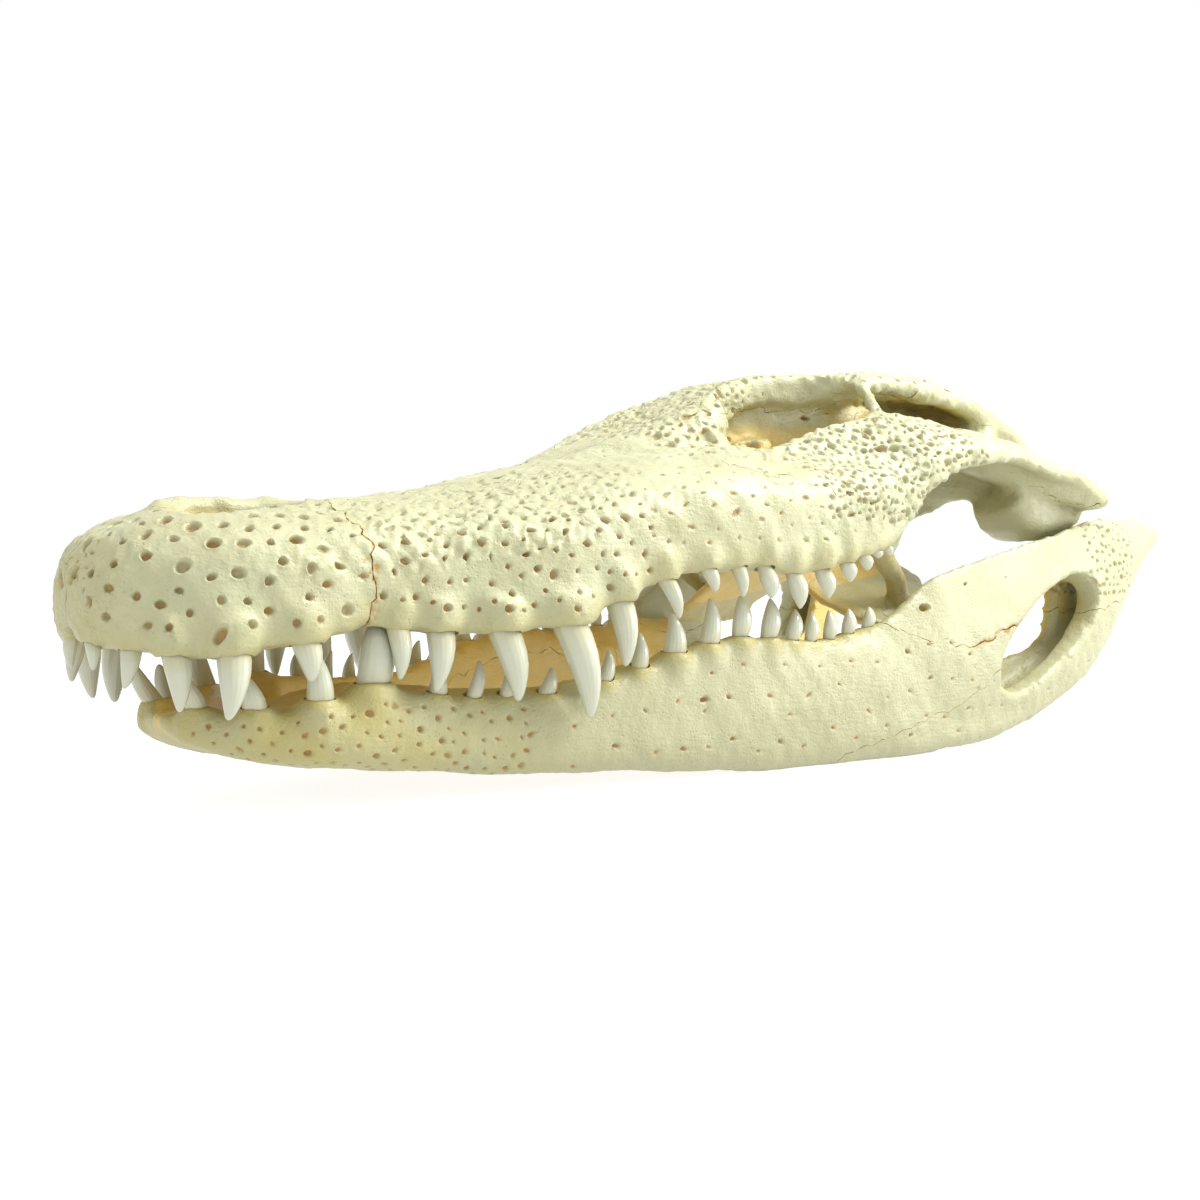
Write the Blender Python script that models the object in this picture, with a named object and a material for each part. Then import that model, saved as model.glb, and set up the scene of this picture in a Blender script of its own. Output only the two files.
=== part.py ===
"""Skull of an American alligator, jaws a little open, standing on its lower jaw.

Places are written as (s, w, h) in hundredths of the dorsal skull length, as skulls are measured:
s runs back from the snout's tip, w out to the animal's left, and h up from the jaw's foot.
The snout points along -X, the animal's left side faces -Y, and the lower jaw stands on z = 0.
The upper skull and the lower jaw are each built whole, from lofted masses that are fused into one
skin, and thin cuts along the sutures then part them into bones.
"""
import math

import bmesh
import bpy
from mathutils import Matrix, Vector

# Driving dimensions, in metres.
SKULL_LENGTH = 0.340          # tip of the snout to the back of the skull table
GAP = 0.00035                 # width of a suture between two bones
VOXEL = 0.0016                # grain at which the masses are fused
SKULL_TRIANGLES = 1980        # faces left to the upper skull before it is parted
JAW_TRIANGLES = 800           # faces left to the lower jaw before it is parted
SLIVERS_OFF = 0.75            # share of a bone's triangles kept once it is parted
EASINGS = 3                   # how many times a fused skin is eased before it is thinned
MIDDLE_BAND = GAP / 10        # how far from the middle a corner may lie and still count as on it
CREASE = math.radians(38)     # a fold sharper than this shows as an edge

UNIT = SKULL_LENGTH / 100
MIDDLE = 59.76                # s at the middle of the whole length, over the origin
TABLE_LEVEL = -0.9            # h of the table's surface

# Curves along the upper skull: (s, value) pairs, joined by a smooth line.
FACE_WIDTH = ((-1.6, 1.6), (-0.9, 4.0), (1, 6.9), (3.5, 9.1), (7, 11.0), (12, 12.1), (16.6, 12.1),
              (20, 12.7), (24, 13.8), (28.5, 15.7), (33, 17.0), (38, 17.4), (43, 18.0),
              (50, 19.3), (58, 20.0), (66, 20.5), (71, 20.7))
FACE_TOP = ((-1.6, 17.0), (-0.9, 18.5), (1, 20.0), (3.5, 21.1), (8, 21.9), (15, 22.4), (20, 22.8),
            (30, 24.2), (38, 26.1), (44, 27.5), (50, 28.8), (56, 29.5), (62, 29.6), (70, 31.0))
TOOTH_LINE = ((-1.6, 0.3), (0, 2.2), (1.5, 4.9), (3.4, 7.8), (6.9, 10.0), (11.7, 11.0),
              (16.6, 11.0), (19.1, 11.7), (22.4, 12.5), (27.2, 14.2), (32.7, 15.7), (37.4, 16.2),
              (41.8, 17.1), (49.6, 18.2), (56.3, 18.8), (63, 19.3), (70, 19.5))
ALVEOLAR = ((-1.6, 12.6), (0, 11.9), (1.5, 11.6), (3.4, 11.1), (6.9, 11.2), (11.7, 11.9),
            (16.6, 12.8), (22.4, 12.4), (27.2, 12.4), (32.7, 12.9), (37.4, 14.6), (41.8, 16.2),
            (46, 17.2), (52, 17.3), (56.3, 17.0), (59.7, 17.3), (63, 18.0), (66, 18.8),
            (70, 19.7))
PALATE = ((-1.6, 13.6), (3, 13.0), (10, 13.0), (18, 13.5), (30, 13.8), (40, 16.0), (50, 17.6),
          (60, 18.6), (70, 19.8))
# How square the face's cross-section is, and where its waist and shoulder lie between its edges.
FACE_POWER = ((-1.6, 2.1), (6.6, 2.5), (20, 2.5), (23, 2.3))
WAIST = 0.36
SHOULDER = 0.6
LEDGE = 2.0                   # breadth of the bony ledge that carries the upper teeth
BROW_WIDTH = ((40, 2.6), (44, 4.6), (50, 6.8), (55, 8.0), (58.5, 8.2), (60.5, 7.0), (63, 5.0),
              (67, 4.2), (71, 4.4), (74, 6.0), (78, 9.5))
BROW_TOP = ((40, 25.6), (44, 27.8), (50, 30.4), (54, 31.9), (58, 33.7), (62, 35.6), (66, 37.0),
            (71, 37.9), (78, 38.1))
BROW_DEPTH = ((40, 3), (50, 6), (57, 8), (61, 7), (64, 3.6), (78, 3.2))
BROW_FLARE = ((40, 2.2), (52, 1.5), (57, 1.3), (60, 1.04), (78, 1.0))


def place(s, w, h):
    """The point at (s, w, h), in metres."""
    return Vector(((s - MIDDLE) * UNIT, -w * UNIT, (h - TABLE_LEVEL) * UNIT))


def along(curve, s):
    """Value at s on a smooth line through a curve's points, with no overshoot between them."""
    if s <= curve[0][0]:
        return curve[0][1]
    if s >= curve[-1][0]:
        return curve[-1][1]
    steps = [(q[1] - p[1]) / (q[0] - p[0]) for p, q in zip(curve, curve[1:])]
    slopes = [steps[0]]
    for before, after in zip(steps, steps[1:]):
        slopes.append(2 * before * after / (before + after) if before * after > 0 else 0)
    slopes.append(steps[-1])
    i = max(k for k, point in enumerate(curve[:-1]) if point[0] <= s)
    (s0, v0), (s1, v1) = curve[i], curve[i + 1]
    width = s1 - s0
    t = (s - s0) / width
    return (v0 * (1 + 2 * t) * (1 - t) ** 2 + slopes[i] * width * t * (1 - t) ** 2
            + v1 * t * t * (3 - 2 * t) - slopes[i + 1] * width * t * t * (1 - t))


def spaced(first, last, count):
    """Evenly spaced values from first to last."""
    return [first + (last - first) * k / (count - 1) for k in range(count)]


def round_power(value, power):
    """A signed power, which squares off or sharpens a circle's cosine and sine."""
    return math.copysign(abs(value) ** (2 / power), value)


def loft(shape, rings, tip=None):
    """Add a closed skin through rings of points; its last end is flat, or comes to a tip."""
    loops = [[shape.verts.new(point) for point in ring] for ring in rings]
    faces = [shape.faces.new(list(reversed(loops[0])))]
    for loop, after in zip(loops, loops[1:]):
        for i, vert in enumerate(loop):
            j = (i + 1) % len(loop)
            faces.append(shape.faces.new((vert, loop[j], after[j], after[i])))
    if tip is None:
        faces.append(shape.faces.new(loops[-1]))
    else:
        point, last = shape.verts.new(tip), loops[-1]
        faces += [shape.faces.new((last[i - 1], last[i], point)) for i in range(len(last))]
    bmesh.ops.recalc_face_normals(shape, faces=faces)


def symmetric_ring(s, half):
    """A ring across the skull at s, from its left half: (w, h) from the top's middle down."""
    left = [place(s, w, h) for w, h in half]
    right = [place(s, -w, h) for w, h in reversed(half[1:-1])]
    return left + right


def sides(paired):
    """The sides a mass is made on: left and right, or once in the middle."""
    return (1, -1) if paired else (1,)


def bar(shape, stations, paired=True, power=2.2, corners=14):
    """Add a bar along its stations (s, w, h, half its breadth, half its depth, lean in degrees)."""
    for side in sides(paired):
        centres = [place(s, w * side, h) for s, w, h, *_ in stations]
        rings = []
        for i, (_, _, _, breadth, depth, lean) in enumerate(stations):
            before, after = centres[max(i - 1, 0)], centres[min(i + 1, len(centres) - 1)]
            run = (after - before).normalized()
            pole = Vector((0, 0, 1)) if abs(run.z) < 0.8 else Vector((0, -side, 0))
            out = run.cross(pole).normalized() * side
            up = run.cross(out).normalized()
            if up.dot(pole) < 0:
                up = -up
            turn = math.radians(lean)
            wide = out * math.cos(turn) + up * math.sin(turn)
            tall = up * math.cos(turn) - out * math.sin(turn)
            angles = [2 * math.pi * k / corners for k in range(corners)]
            rings.append([centres[i] + wide * round_power(math.cos(a), power) * breadth * UNIT
                          + tall * round_power(math.sin(a), power) * depth * UNIT for a in angles])
        loft(shape, rings)


def wall(shape, stations, paired=True):
    """Add an upright wall along s: stations (s, w and h of its top, w and h of its foot, half its
    thickness, how far its outer face bulges)."""
    for side in sides(paired):
        rings = []
        for s, top_w, top_h, foot_w, foot_h, half, bulge in stations:
            outer = [(top_w + (foot_w - top_w) * t + half * math.sin(math.pi * (0.15 + 0.7 * t))
                      + bulge * math.sin(math.pi * t), top_h + (foot_h - top_h) * t)
                     for t in (0, 0.2, 0.4, 0.6, 0.8, 1)]
            inner = [(top_w + (foot_w - top_w) * t - half, top_h + (foot_h - top_h) * t)
                     for t in (0.95, 0.7, 0.35, 0.05)]
            rings.append([place(s, w * side, h) for w, h in outer + inner])
        loft(shape, rings)


def face_ring(s):
    """Cross-section of the snout and face: an arched roof over bulging walls and the palate."""
    top, width = along(FACE_TOP, s), along(FACE_WIDTH, s)
    line, rim = along(TOOTH_LINE, s), along(ALVEOLAR, s)
    waist = rim + WAIST * (top - rim)
    power = along(FACE_POWER, s)
    half = []
    for a in spaced(90, 0, 11):
        half.append((width * round_power(math.cos(math.radians(a)), power),
                     waist + (top - waist) * round_power(math.sin(math.radians(a)), power)))
    shoulder = line + SHOULDER * (width - line)
    for a in spaced(20, 80, 4):
        half.append((shoulder + (width - shoulder) * math.cos(math.radians(a)),
                     waist - (waist - rim) * math.sin(math.radians(a))))
    ledge = max(line - LEDGE, line * 0.5)
    half += [(line, rim), (ledge, rim - 0.3), (ledge * 0.8, along(PALATE, s)),
             (0, along(PALATE, s))]
    half[0] = (0, top)
    return symmetric_ring(s, half)


def brow_ring(s):
    """Cross-section of the raised brow, which runs back between the orbits to the skull table."""
    width, top, depth = along(BROW_WIDTH, s), along(BROW_TOP, s), along(BROW_DEPTH, s)
    flare = along(BROW_FLARE, s)
    half = [(0, top - 0.5), (width * 0.45, top - 0.3), (width * 0.8, top), (width * 0.97, top - 0.6),
            (width * (0.8 + 0.2 * flare), top - 1.5), (width * flare, top - depth), (0, top - depth)]
    return symmetric_ring(s, half)


# The skull table: s, half its width, its top in the middle and at the edge, and its depth.
TABLE = ((74.6, 6.5, 38.2, 37.9, 2.4), (76.2, 11.2, 38.4, 37.3, 1.9), (80, 12.1, 38.6, 37.9, 1.9),
         (86, 12.3, 38.7, 38.0, 1.9), (91, 12.6, 38.6, 37.6, 2.2), (95, 12.9, 38.0, 36.5, 2.7),
         (97.0, 12.6, 37.1, 35.5, 2.7))


def table_ring(s, width, middle, edge, depth):
    """Cross-section of the flat skull table."""
    half = [(0, middle), (width * 0.5, middle - 0.1), (width * 0.9, edge + 0.25), (width, edge - 0.7),
            (width * 0.97, edge - depth), (width * 0.6, middle - depth), (0, middle - depth)]
    return symmetric_ring(s, half)


# The cheek's wall, from under the orbit to the jaw joint: stations of wall().
CHEEK = ((55.5, 15.5, 25.2, 19.2, 19.2, 1.2, 0.5), (59, 13.4, 28.6, 19.3, 19.0, 1.2, 0.8),
         (63, 12.8, 29.6, 19.6, 19.2, 1.2, 1.1), (67, 13.2, 30.9, 19.8, 19.6, 1.2, 1.2),
         (70.5, 14.1, 32.0, 19.9, 20.2, 1.2, 1.2), (73, 14.8, 32.8, 20.0, 22.2, 1.2, 1.0),
         (76, 15.5, 33.0, 20.2, 25.2, 1.2, 0.9), (80, 16.6, 32.4, 20.5, 27.0, 1.1, 0.7),
         (86, 18.4, 30.9, 20.8, 28.2, 1.1, 0.5), (90, 19.3, 30.0, 21.1, 28.2, 1.1, 0.4),
         (94, 20.0, 29.3, 21.4, 27.2, 1.1, 0.4), (100, 21.0, 28.2, 22.3, 25.9, 1.1, 0.4),
         (105.0, 21.6, 26.3, 22.8, 24.0, 1.1, 0.3))


def skull_masses():
    """The masses of the upper skull, as one loose heap of closed skins."""
    shape = bmesh.new()
    loft(shape, [face_ring(s) for s in (-1.6, -1.3, -0.8, 0, 1, 2.2, 4, 6, 8, 10, 13, 16, 18, 20, 23,
                                        26, 29, 32, 35, 38, 41, 44, 47, 50, 53, 56, 59, 62, 65, 68, 70)])
    loft(shape, [brow_ring(s) for s in (40, 43, 46, 49, 52, 55, 57, 59, 61, 63, 65, 67, 70, 73, 76, 78)])
    loft(shape, [table_ring(*station) for station in TABLE])
    wall(shape, CHEEK)
    # The bony bar between the nostrils.
    bar(shape, ((4.6, 0, 20.9, 1.2, 0.8, 0), (5.6, 0, 21.7, 1.0, 0.9, 0), (10, 0, 21.9, 0.75, 0.8, 0),
                (15, 0, 22.2, 0.8, 0.8, 0), (17, 0, 22.0, 1.4, 0.7, 0)), paired=False)
    # The shelf that carries the rear teeth, inside the cheek.
    bar(shape, ((56, 17.6, 19.6, 2.2, 2.0, 0), (62, 18.1, 20.0, 2.0, 1.9, 0),
                (67, 18.6, 20.9, 1.7, 1.7, 0), (71, 18.9, 21.6, 1.4, 1.4, 0)))
    # The bar behind the orbit, from the table's corner down to the cheek.
    bar(shape, ((76.6, 10.4, 36.6, 1.3, 1.1, 0), (75.4, 11.9, 35.9, 0.9, 0.8, 0),
                (74.9, 12.9, 34.5, 0.7, 0.7, 0), (74.5, 14.0, 33.0, 0.8, 0.8, 0),
                (74.2, 15.2, 31.6, 1.1, 1.1, 0)), power=2)
    # The table's rear corners, over the ears.
    bar(shape, ((84, 10.9, 36.3, 1.3, 0.9, 0), (90, 11.7, 35.8, 1.2, 1.0, 0),
                (96, 12.6, 34.6, 1.2, 1.2, 0), (100.4, 13.3, 32.5, 0.9, 1.1, 0),
                (103.2, 14.0, 30.8, 0.8, 1.1, 0)))
    # The wall between the two orbits, and the braincase behind it.
    bar(shape, ((56, 0, 27.0, 2.6, 3.5, 0), (60, 0, 29.5, 2.2, 4.4, 0), (64, 0, 31.0, 2.0, 4.6, 0),
                (70, 0, 32.0, 2.2, 5.0, 0), (76, 0, 31.5, 3.4, 5.4, 0), (82, 0, 30.5, 4.6, 6.0, 0),
                (88, 0, 30.0, 5.4, 6.3, 0), (95, 0, 30.0, 6.0, 5.6, 0)), paired=False, power=3)
    bar(shape, ((96, 14.2, 31.2, 1.4, 1.6, 0), (95.6, 9, 31.4, 1.9, 2.5, 0),
                (95.2, 4.5, 30.5, 2.3, 4.6, 0), (95, 0, 30, 2.5, 5.6, 0)), power=2.6)
    bar(shape, ((95, 0, 26.6, 3.4, 2.3, 0), (99.5, 0, 26.3, 2.1, 2.0, 0),
                (101.3, 0, 26.1, 1.9, 1.8, 0), (102.1, 0, 26.0, 0.9, 0.9, 0)), paired=False, power=2)
    bar(shape, ((95, 0, 27, 4.2, 2.4, 0), (94.6, 0, 23, 4.0, 1.9, 0), (93.6, 0, 19.6, 3.2, 1.3, 0)),
        paired=False, power=2.6)
    bar(shape, ((86, 0, 27, 3.4, 5.5, 0), (89, 0, 23, 3.0, 3.6, 0), (88, 0, 19, 3.0, 3.4, 0)),
        paired=False, power=2.6)
    # The quadrate, from under the table out and down to the jaw joint.
    bar(shape, ((84.5, 7.5, 32.0, 3.4, 1.6, -20), (89, 10.3, 31.3, 4.2, 1.9, -20),
                (94, 13.3, 29.9, 4.8, 2.0, -24), (99, 16.3, 27.9, 4.8, 1.9, -20),
                (102.5, 18.3, 26.2, 4.4, 1.8, -10), (104.6, 18.8, 25.1, 4.3, 1.6, -4),
                (106.2, 19.0, 24.8, 3.2, 0.8, -4)), power=2.6)
    bar(shape, ((87, 5.6, 27.2, 1.0, 2.6, 0), (93, 9.6, 27.2, 1.2, 2.3, 0), (98.5, 13.2, 26.4, 1.6, 1.9, 0),
                (103, 15.9, 25.5, 1.8, 1.5, 0)))
    # The roller of the jaw joint, under the quadrate's rear end.
    bar(shape, ((95.0, 15.2, 25.0, 3.2, 1.8, 0), (96.6, 15.4, 23.8, 3.6, 2.8, 0),
                (98.4, 15.5, 23.1, 3.7, 3.0, 0), (101, 15.6, 23.4, 3.7, 3.0, 0),
                (104.5, 15.8, 23.6, 3.7, 2.8, 0), (106.4, 15.8, 23.8, 3.1, 1.8, 0)), power=2.6)
    # The plate that closes the gap between quadrate and cheek bar.
    bar(shape, ((87, 15.6, 31.4, 2.2, 0.9, -25), (93, 17.4, 30.0, 2.6, 1.0, -30),
                (99, 19.4, 27.9, 2.4, 1.1, -34), (104, 20.6, 25.4, 2.0, 1.1, -34)))
    # The wing that ties the quadrate to the pterygoid.
    bar(shape, ((86, 3.0, 22.0, 2.2, 2.6, 0), (90, 6.0, 25.0, 0.9, 2.8, 0),
                (95, 10.2, 27.6, 0.8, 2.4, 0)))
    # Palate behind the snout: a middle bar, the two wings and their struts.
    bar(shape, ((44, 0, 18.4, 4.2, 1.6, 0), (52, 0, 19.2, 3.4, 1.7, 0), (60, 0, 19.9, 3.2, 1.7, 0),
                (67, 0, 20.0, 3.6, 1.6, 0), (73, 0, 19.6, 4.6, 1.4, 0), (80, 0, 18.8, 5.0, 1.6, 0)),
        paired=False, power=3)
    bar(shape, ((80.5, -0.5, 18.8, 10.5, 1.3, 0), (80.6, 4, 18.2, 9.8, 1.1, 0),
                (80.0, 8, 16.2, 8.8, 0.9, 0), (79.0, 10.8, 13.9, 7.6, 0.9, 0),
                (78.9, 12.6, 12.2, 6.6, 1.1, 0), (79.2, 13.2, 11.4, 4.8, 0.6, 0)), power=2.4)
    bar(shape, ((66, 17.6, 21.2, 1.2, 1.1, 0), (71, 16.6, 20.6, 1.3, 1.0, 0), (76, 14.6, 17.6, 1.2, 1.0, 0),
                (80, 13.3, 14.4, 1.1, 0.9, 0), (83, 12.8, 12.6, 0.8, 0.7, 0)))
    return shape


def skull_hollows():
    """What is cut out of the upper skull: nostrils, orbits, openings of the table and the palate."""
    shape = bmesh.new()
    # The nostrils, with the bony bar of the nasals left standing between them.
    bar(shape, ((10.5, 2.7, 17.4, 2.6, 1.3, 0), (10.5, 2.9, 19.0, 4.2, 2.1, 0),
                (10.5, 3.1, 21.6, 5.0, 2.45, 0), (10.6, 3.1, 24, 5.6, 2.5, 0)))
    # The orbits: oval windows in the roof, over the hollow of the face.
    bar(shape, ((67.2, 8.4, 25, 6.6, 3.2, 0), (67.0, 8.3, 29.0, 7.8, 3.5, 0),
                (67.0, 8.4, 33, 8.1, 4.1, 0), (67.2, 8.3, 42, 8.5, 4.3, 0)), power=2.7)
    bar(shape, ((58.6, 9.5, 24.5, 1.6, 2.0, 0), (60, 9.8, 24.4, 3.6, 3.0, 0),
                (63, 9.8, 24.6, 4.0, 3.6, 0), (67, 10.1, 24.8, 4.4, 3.8, 0),
                (71, 10.4, 25.2, 4.8, 4.0, 0)), power=2.6)
    bar(shape, ((57.2, 8.2, 10, 9.6, 3.7, 0), (57.2, 8.2, 18, 9.8, 3.7, 0),
                (58.5, 8.3, 21, 8.6, 3.9, 0), (60.5, 8.8, 25, 5.0, 3.6, 0)), power=2.2)
    # The two round openings of the skull table.
    bar(shape, ((86.6, 5.9, 33.0, 2.3, 1.7, 0), (86.6, 5.9, 36.5, 2.6, 1.9, 0),
                (86.6, 5.9, 42, 3.0, 2.3, 0)), power=2)
    # Pits of the palate: one for each long lower tooth, one in front, and the inner nostrils.
    bar(shape, ((18.3, 9.6, 10, 2.1, 2.0, 0), (18.3, 9.5, 14.2, 1.9, 1.8, 0),
                (18.3, 9.3, 16.0, 1.1, 1.1, 0)), power=2)
    bar(shape, ((6.2, 0, 10, 1.8, 1.3, 0), (6.2, 0, 14.6, 1.8, 1.3, 0), (6.2, 0, 16.2, 1.0, 0.8, 0)),
        paired=False, power=2)
    bar(shape, ((87.6, 0, 14.0, 1.9, 1.5, 0), (87.2, 0, 18.6, 1.9, 1.5, 0),
                (86.6, 0, 20.4, 1.2, 1.0, 0)), paired=False, power=2)
    # The opening for the spinal cord, over the knob of the neck joint.
    bar(shape, ((88, 0, 30.0, 1.6, 1.2, 0), (94, 0, 30.1, 2.0, 1.5, 0), (100, 0, 30.3, 2.3, 1.8, 0)),
        paired=False, power=2)
    # The window through the wall between the orbits.
    bar(shape, ((64, -4, 28.3, 1.9, 1.2, 0), (64, 4, 28.3, 1.9, 1.2, 0)), paired=False, power=2)
    return shape


# Curves along the lower jaw: its outer and inner face, the inner rim's extra rise, foot and rim.
JAW_OUTER = ((5.2, 2.0), (5.7, 3.4), (7, 5.8), (9.4, 8.4), (13, 10.8), (17, 11.7), (22, 12.1),
             (28, 13.1), (33, 14.4), (40, 16.0), (48, 17.5), (55, 18.7), (62, 19.8), (70, 21.0),
             (77, 21.4))
JAW_INNER = ((13, -0.6), (16.2, 0.4), (18, 3.2), (22, 6.6), (28, 9.0), (33, 10.5), (40, 12.3),
             (48, 13.8), (55, 14.9), (62, 15.4), (70, 15.7), (77, 16.0))
JAW_INNER_RISE = ((16, 0), (20, 0.9), (26, 1.8), (35, 1.9), (42, 1.3), (49, 0.6), (58, 0.2),
                  (70, 0))
JAW_FOOT = ((5.2, 5.4), (6.5, 4.2), (9, 3.1), (13, 2.3), (17, 1.8), (23, 1.2), (33, 0.4), (42, -0.1),
            (49, -0.6), (55, -1.05), (62, -1.15), (77, -1.2))
JAW_RIM = ((5.2, 6.2), (6.9, 6.8), (9.7, 6.7), (13.5, 7.2), (18, 8.3), (22, 7.6), (28, 6.9),
           (33, 6.9), (38, 7.9), (44.8, 9.8), (51.8, 11.0), (56, 10.6), (60.5, 10.4), (68.3, 11.4),
           (77, 12.0))
# The outer wall of the jaw's rear half: stations of wall().
JAW_CHEEK = ((65, 18.2, 10.2, 18.6, 0.6, 1.0, 0.3), (71, 19.2, 13.4, 19.5, 0.1, 1.0, 0.7),
             (76, 19.8, 16.6, 20.0, -0.1, 1.0, 0.9), (82, 20.2, 18.1, 20.4, 0.1, 1.0, 1.0),
             (90, 20.4, 19.7, 20.7, 1.0, 1.0, 1.1), (97, 20.6, 21.2, 21.0, 2.8, 1.0, 1.1),
             (103, 20.9, 22.6, 21.1, 5.2, 1.1, 1.0), (107.5, 20.8, 23.2, 20.9, 8.2, 1.2, 0.8),
             (112, 20.5, 23.4, 20.7, 12.8, 1.2, 0.6), (114, 20.4, 22.9, 20.6, 14.8, 1.1, 0.6),
             (116.6, 20.3, 23.3, 20.4, 17.4, 1.0, 0.5),
             (119.4, 20.3, 23.0, 20.4, 19.6, 0.8, 0.3),
             (121.5, 20.3, 21.9, 20.4, 20.8, 0.5, 0.2))


RAMUS_CORNERS = 20
RAMUS_ACROSS = 3.0            # how square the jaw's half is across, and how square it is upright
RAMUS_UPRIGHT = 3.4
RAMUS_TUCK = 0.16             # how far the outer face leans in towards the teeth, in half-widths


def ramus_ring(s, side):
    """Cross-section of one half of the lower jaw: tall, with a full outer face and a flat foot."""
    outer, inner = along(JAW_OUTER, s), along(JAW_INNER, s)
    foot, rim = along(JAW_FOOT, s), along(JAW_RIM, s)
    middle, half = (outer + inner) / 2, (outer - inner) / 2
    points = []
    for k in range(RAMUS_CORNERS):
        a = 2 * math.pi * k / RAMUS_CORNERS
        across = round_power(math.cos(a), RAMUS_ACROSS)
        rise = round_power(math.sin(a), RAMUS_UPRIGHT)
        tuck = RAMUS_TUCK * half * max(rise, 0) if across > 0 else 0
        lift = along(JAW_INNER_RISE, s) * max(rise, 0) * max(-across, 0)
        points.append(place(s, side * (middle + across * half - tuck),
                            (foot + rim) / 2 + rise * (rim - foot) / 2 + lift))
    return points


def jaw_masses():
    """The masses of the lower jaw."""
    shape = bmesh.new()
    for side in sides(True):
        loft(shape, [ramus_ring(s, side) for s in (5.2, 5.6, 6.3, 7.5, 9, 11, 13, 14.5, 16, 17, 18, 20, 22,
                                                   25, 29, 33, 37, 41, 45, 49, 53, 57, 61, 65, 69,
                                                   73, 77)])
    wall(shape, JAW_CHEEK)
    # The floor of the trough behind the teeth, and its low inner wall.
    bar(shape, ((70, 18.2, 0.9, 2.6, 1.8, 0), (80, 18.9, 1.0, 2.5, 1.8, 0), (86, 19.1, 1.4, 2.4, 1.8, 0),
                (92, 19.3, 2.7, 2.3, 1.8, 0), (98, 19.5, 4.8, 2.2, 1.9, 0), (104, 19.6, 7.6, 2.0, 1.9, 0),
                (109, 19.6, 11.6, 1.8, 2.0, 0)), power=3)
    wall(shape, ((64, 16.0, 9.4, 16.4, 1.2, 0.8, 0), (74, 16.1, 8.0, 16.9, 0.9, 0.6, 0),
                 (84, 16.5, 7.2, 17.1, 1.1, 0.6, 0), (93, 16.7, 7.8, 17.5, 2.6, 0.6, 0),
                 (99, 16.8, 8.6, 17.8, 5.0, 0.7, 0), (101.6, 16.8, 10.0, 17.8, 6.6, 0.8, 0),
                 (103.4, 16.9, 16.4, 17.8, 7.8, 0.8, 0), (108, 17.4, 18.4, 17.9, 10.4, 0.9, 0)))
    # The joint block under the quadrate, and the lever behind it.
    bar(shape, ((99.0, 17.2, 17.4, 3.2, 1.6, 0), (102.5, 17.4, 17.8, 3.8, 2.0, 0),
                (106.5, 17.6, 18.3, 3.8, 2.1, 0), (109.8, 18.6, 20.2, 2.8, 2.9, 0),
                (114, 19.9, 20.3, 2.0, 2.5, 0), (118, 20.3, 21.0, 1.4, 1.6, 0),
                (121, 20.5, 21.4, 0.8, 0.7, 0)), power=2.6)
    return shape


def jaw_hollows():
    """What is cut out of the lower jaw: the window in each outer wall."""
    shape = bmesh.new()
    bar(shape, ((94.2, 18.8, 10.5, 9.8, 3.6, -29), (94.2, 21.0, 10.5, 10.1, 3.8, -29),
                (94.2, 25.0, 10.5, 10.5, 4.2, -29)), power=2.2)
    return shape


# Teeth from the front to the back: s, length of the crown, breadth at the gum, and how far the tip
# lies behind the root.
UPPER_TEETH = ((-0.1, 2.0, 1.2, 0.0), (1.5, 2.9, 1.6, -0.5), (3.4, 4.0, 2.1, 0.3),
               (6.7, 4.7, 2.6, -0.4), (11.7, 3.0, 2.3, 0.5), (19.1, 3.9, 1.9, 0.2),
               (22.4, 4.7, 2.4, -0.4), (27.1, 5.7, 2.9, 1.5), (32.5, 7.8, 3.3, 2.3),
               (37.4, 5.5, 2.6, 0.8), (41.9, 3.3, 1.8, 1.6), (46.2, 2.1, 1.7, 1.0),
               (49.6, 2.6, 1.5, 0.7), (52.7, 2.8, 1.9, 0.9), (56.1, 3.5, 2.0, 1.1),
               (59.7, 2.9, 2.0, 1.2), (63.0, 2.1, 1.8, 0.8), (65.5, 1.7, 1.6, 0.8),
               (67.4, 1.0, 1.3, 0.5), (69.1, 1.1, 1.1, 0.5))
LOWER_TEETH = ((6.9, 3.6, 1.9, -2.0), (9.8, 2.9, 2.0, -1.0), (13.8, 4.2, 2.2, -0.7),
               (18.1, 5.0, 2.8, 0.2), (23.4, 2.4, 1.6, -0.3), (26.4, 2.9, 1.4, 0.6),
               (29.2, 2.6, 1.4, 0.3), (32.6, 2.2, 1.6, 0.6), (37.9, 2.5, 1.5, 0.5),
               (41.2, 3.0, 1.6, 0.0), (44.7, 3.6, 2.2, -0.3), (48.2, 4.0, 2.1, 0.3),
               (51.6, 3.8, 2.0, 0.1), (54.8, 3.8, 2.0, 0.4), (57.7, 3.0, 1.7, 0.6),
               (60.1, 2.8, 1.5, 0.3), (62.6, 2.8, 1.5, 0.1), (65.2, 2.5, 1.6, 0.3),
               (68.0, 2.2, 1.5, 0.5))
JAW_TOOTH_LINE = ((5.2, 0.6), (6.6, 3.2), (9.2, 6.6), (13.4, 9.4), (18, 9.8), (22, 10.5), (28, 11.6),
                  (33, 12.8), (40, 14.4), (48, 15.9), (55, 17.0), (62, 17.6), (70, 18.0))
TOOTH_ROOT = 1.4              # how deep a tooth stands in its socket
TOOTH_CORNERS = 5
TOOTH_SHAPE = (0.42, 0.45, 0.43)    # radius at the root, height of the belly, radius at the belly


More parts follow.
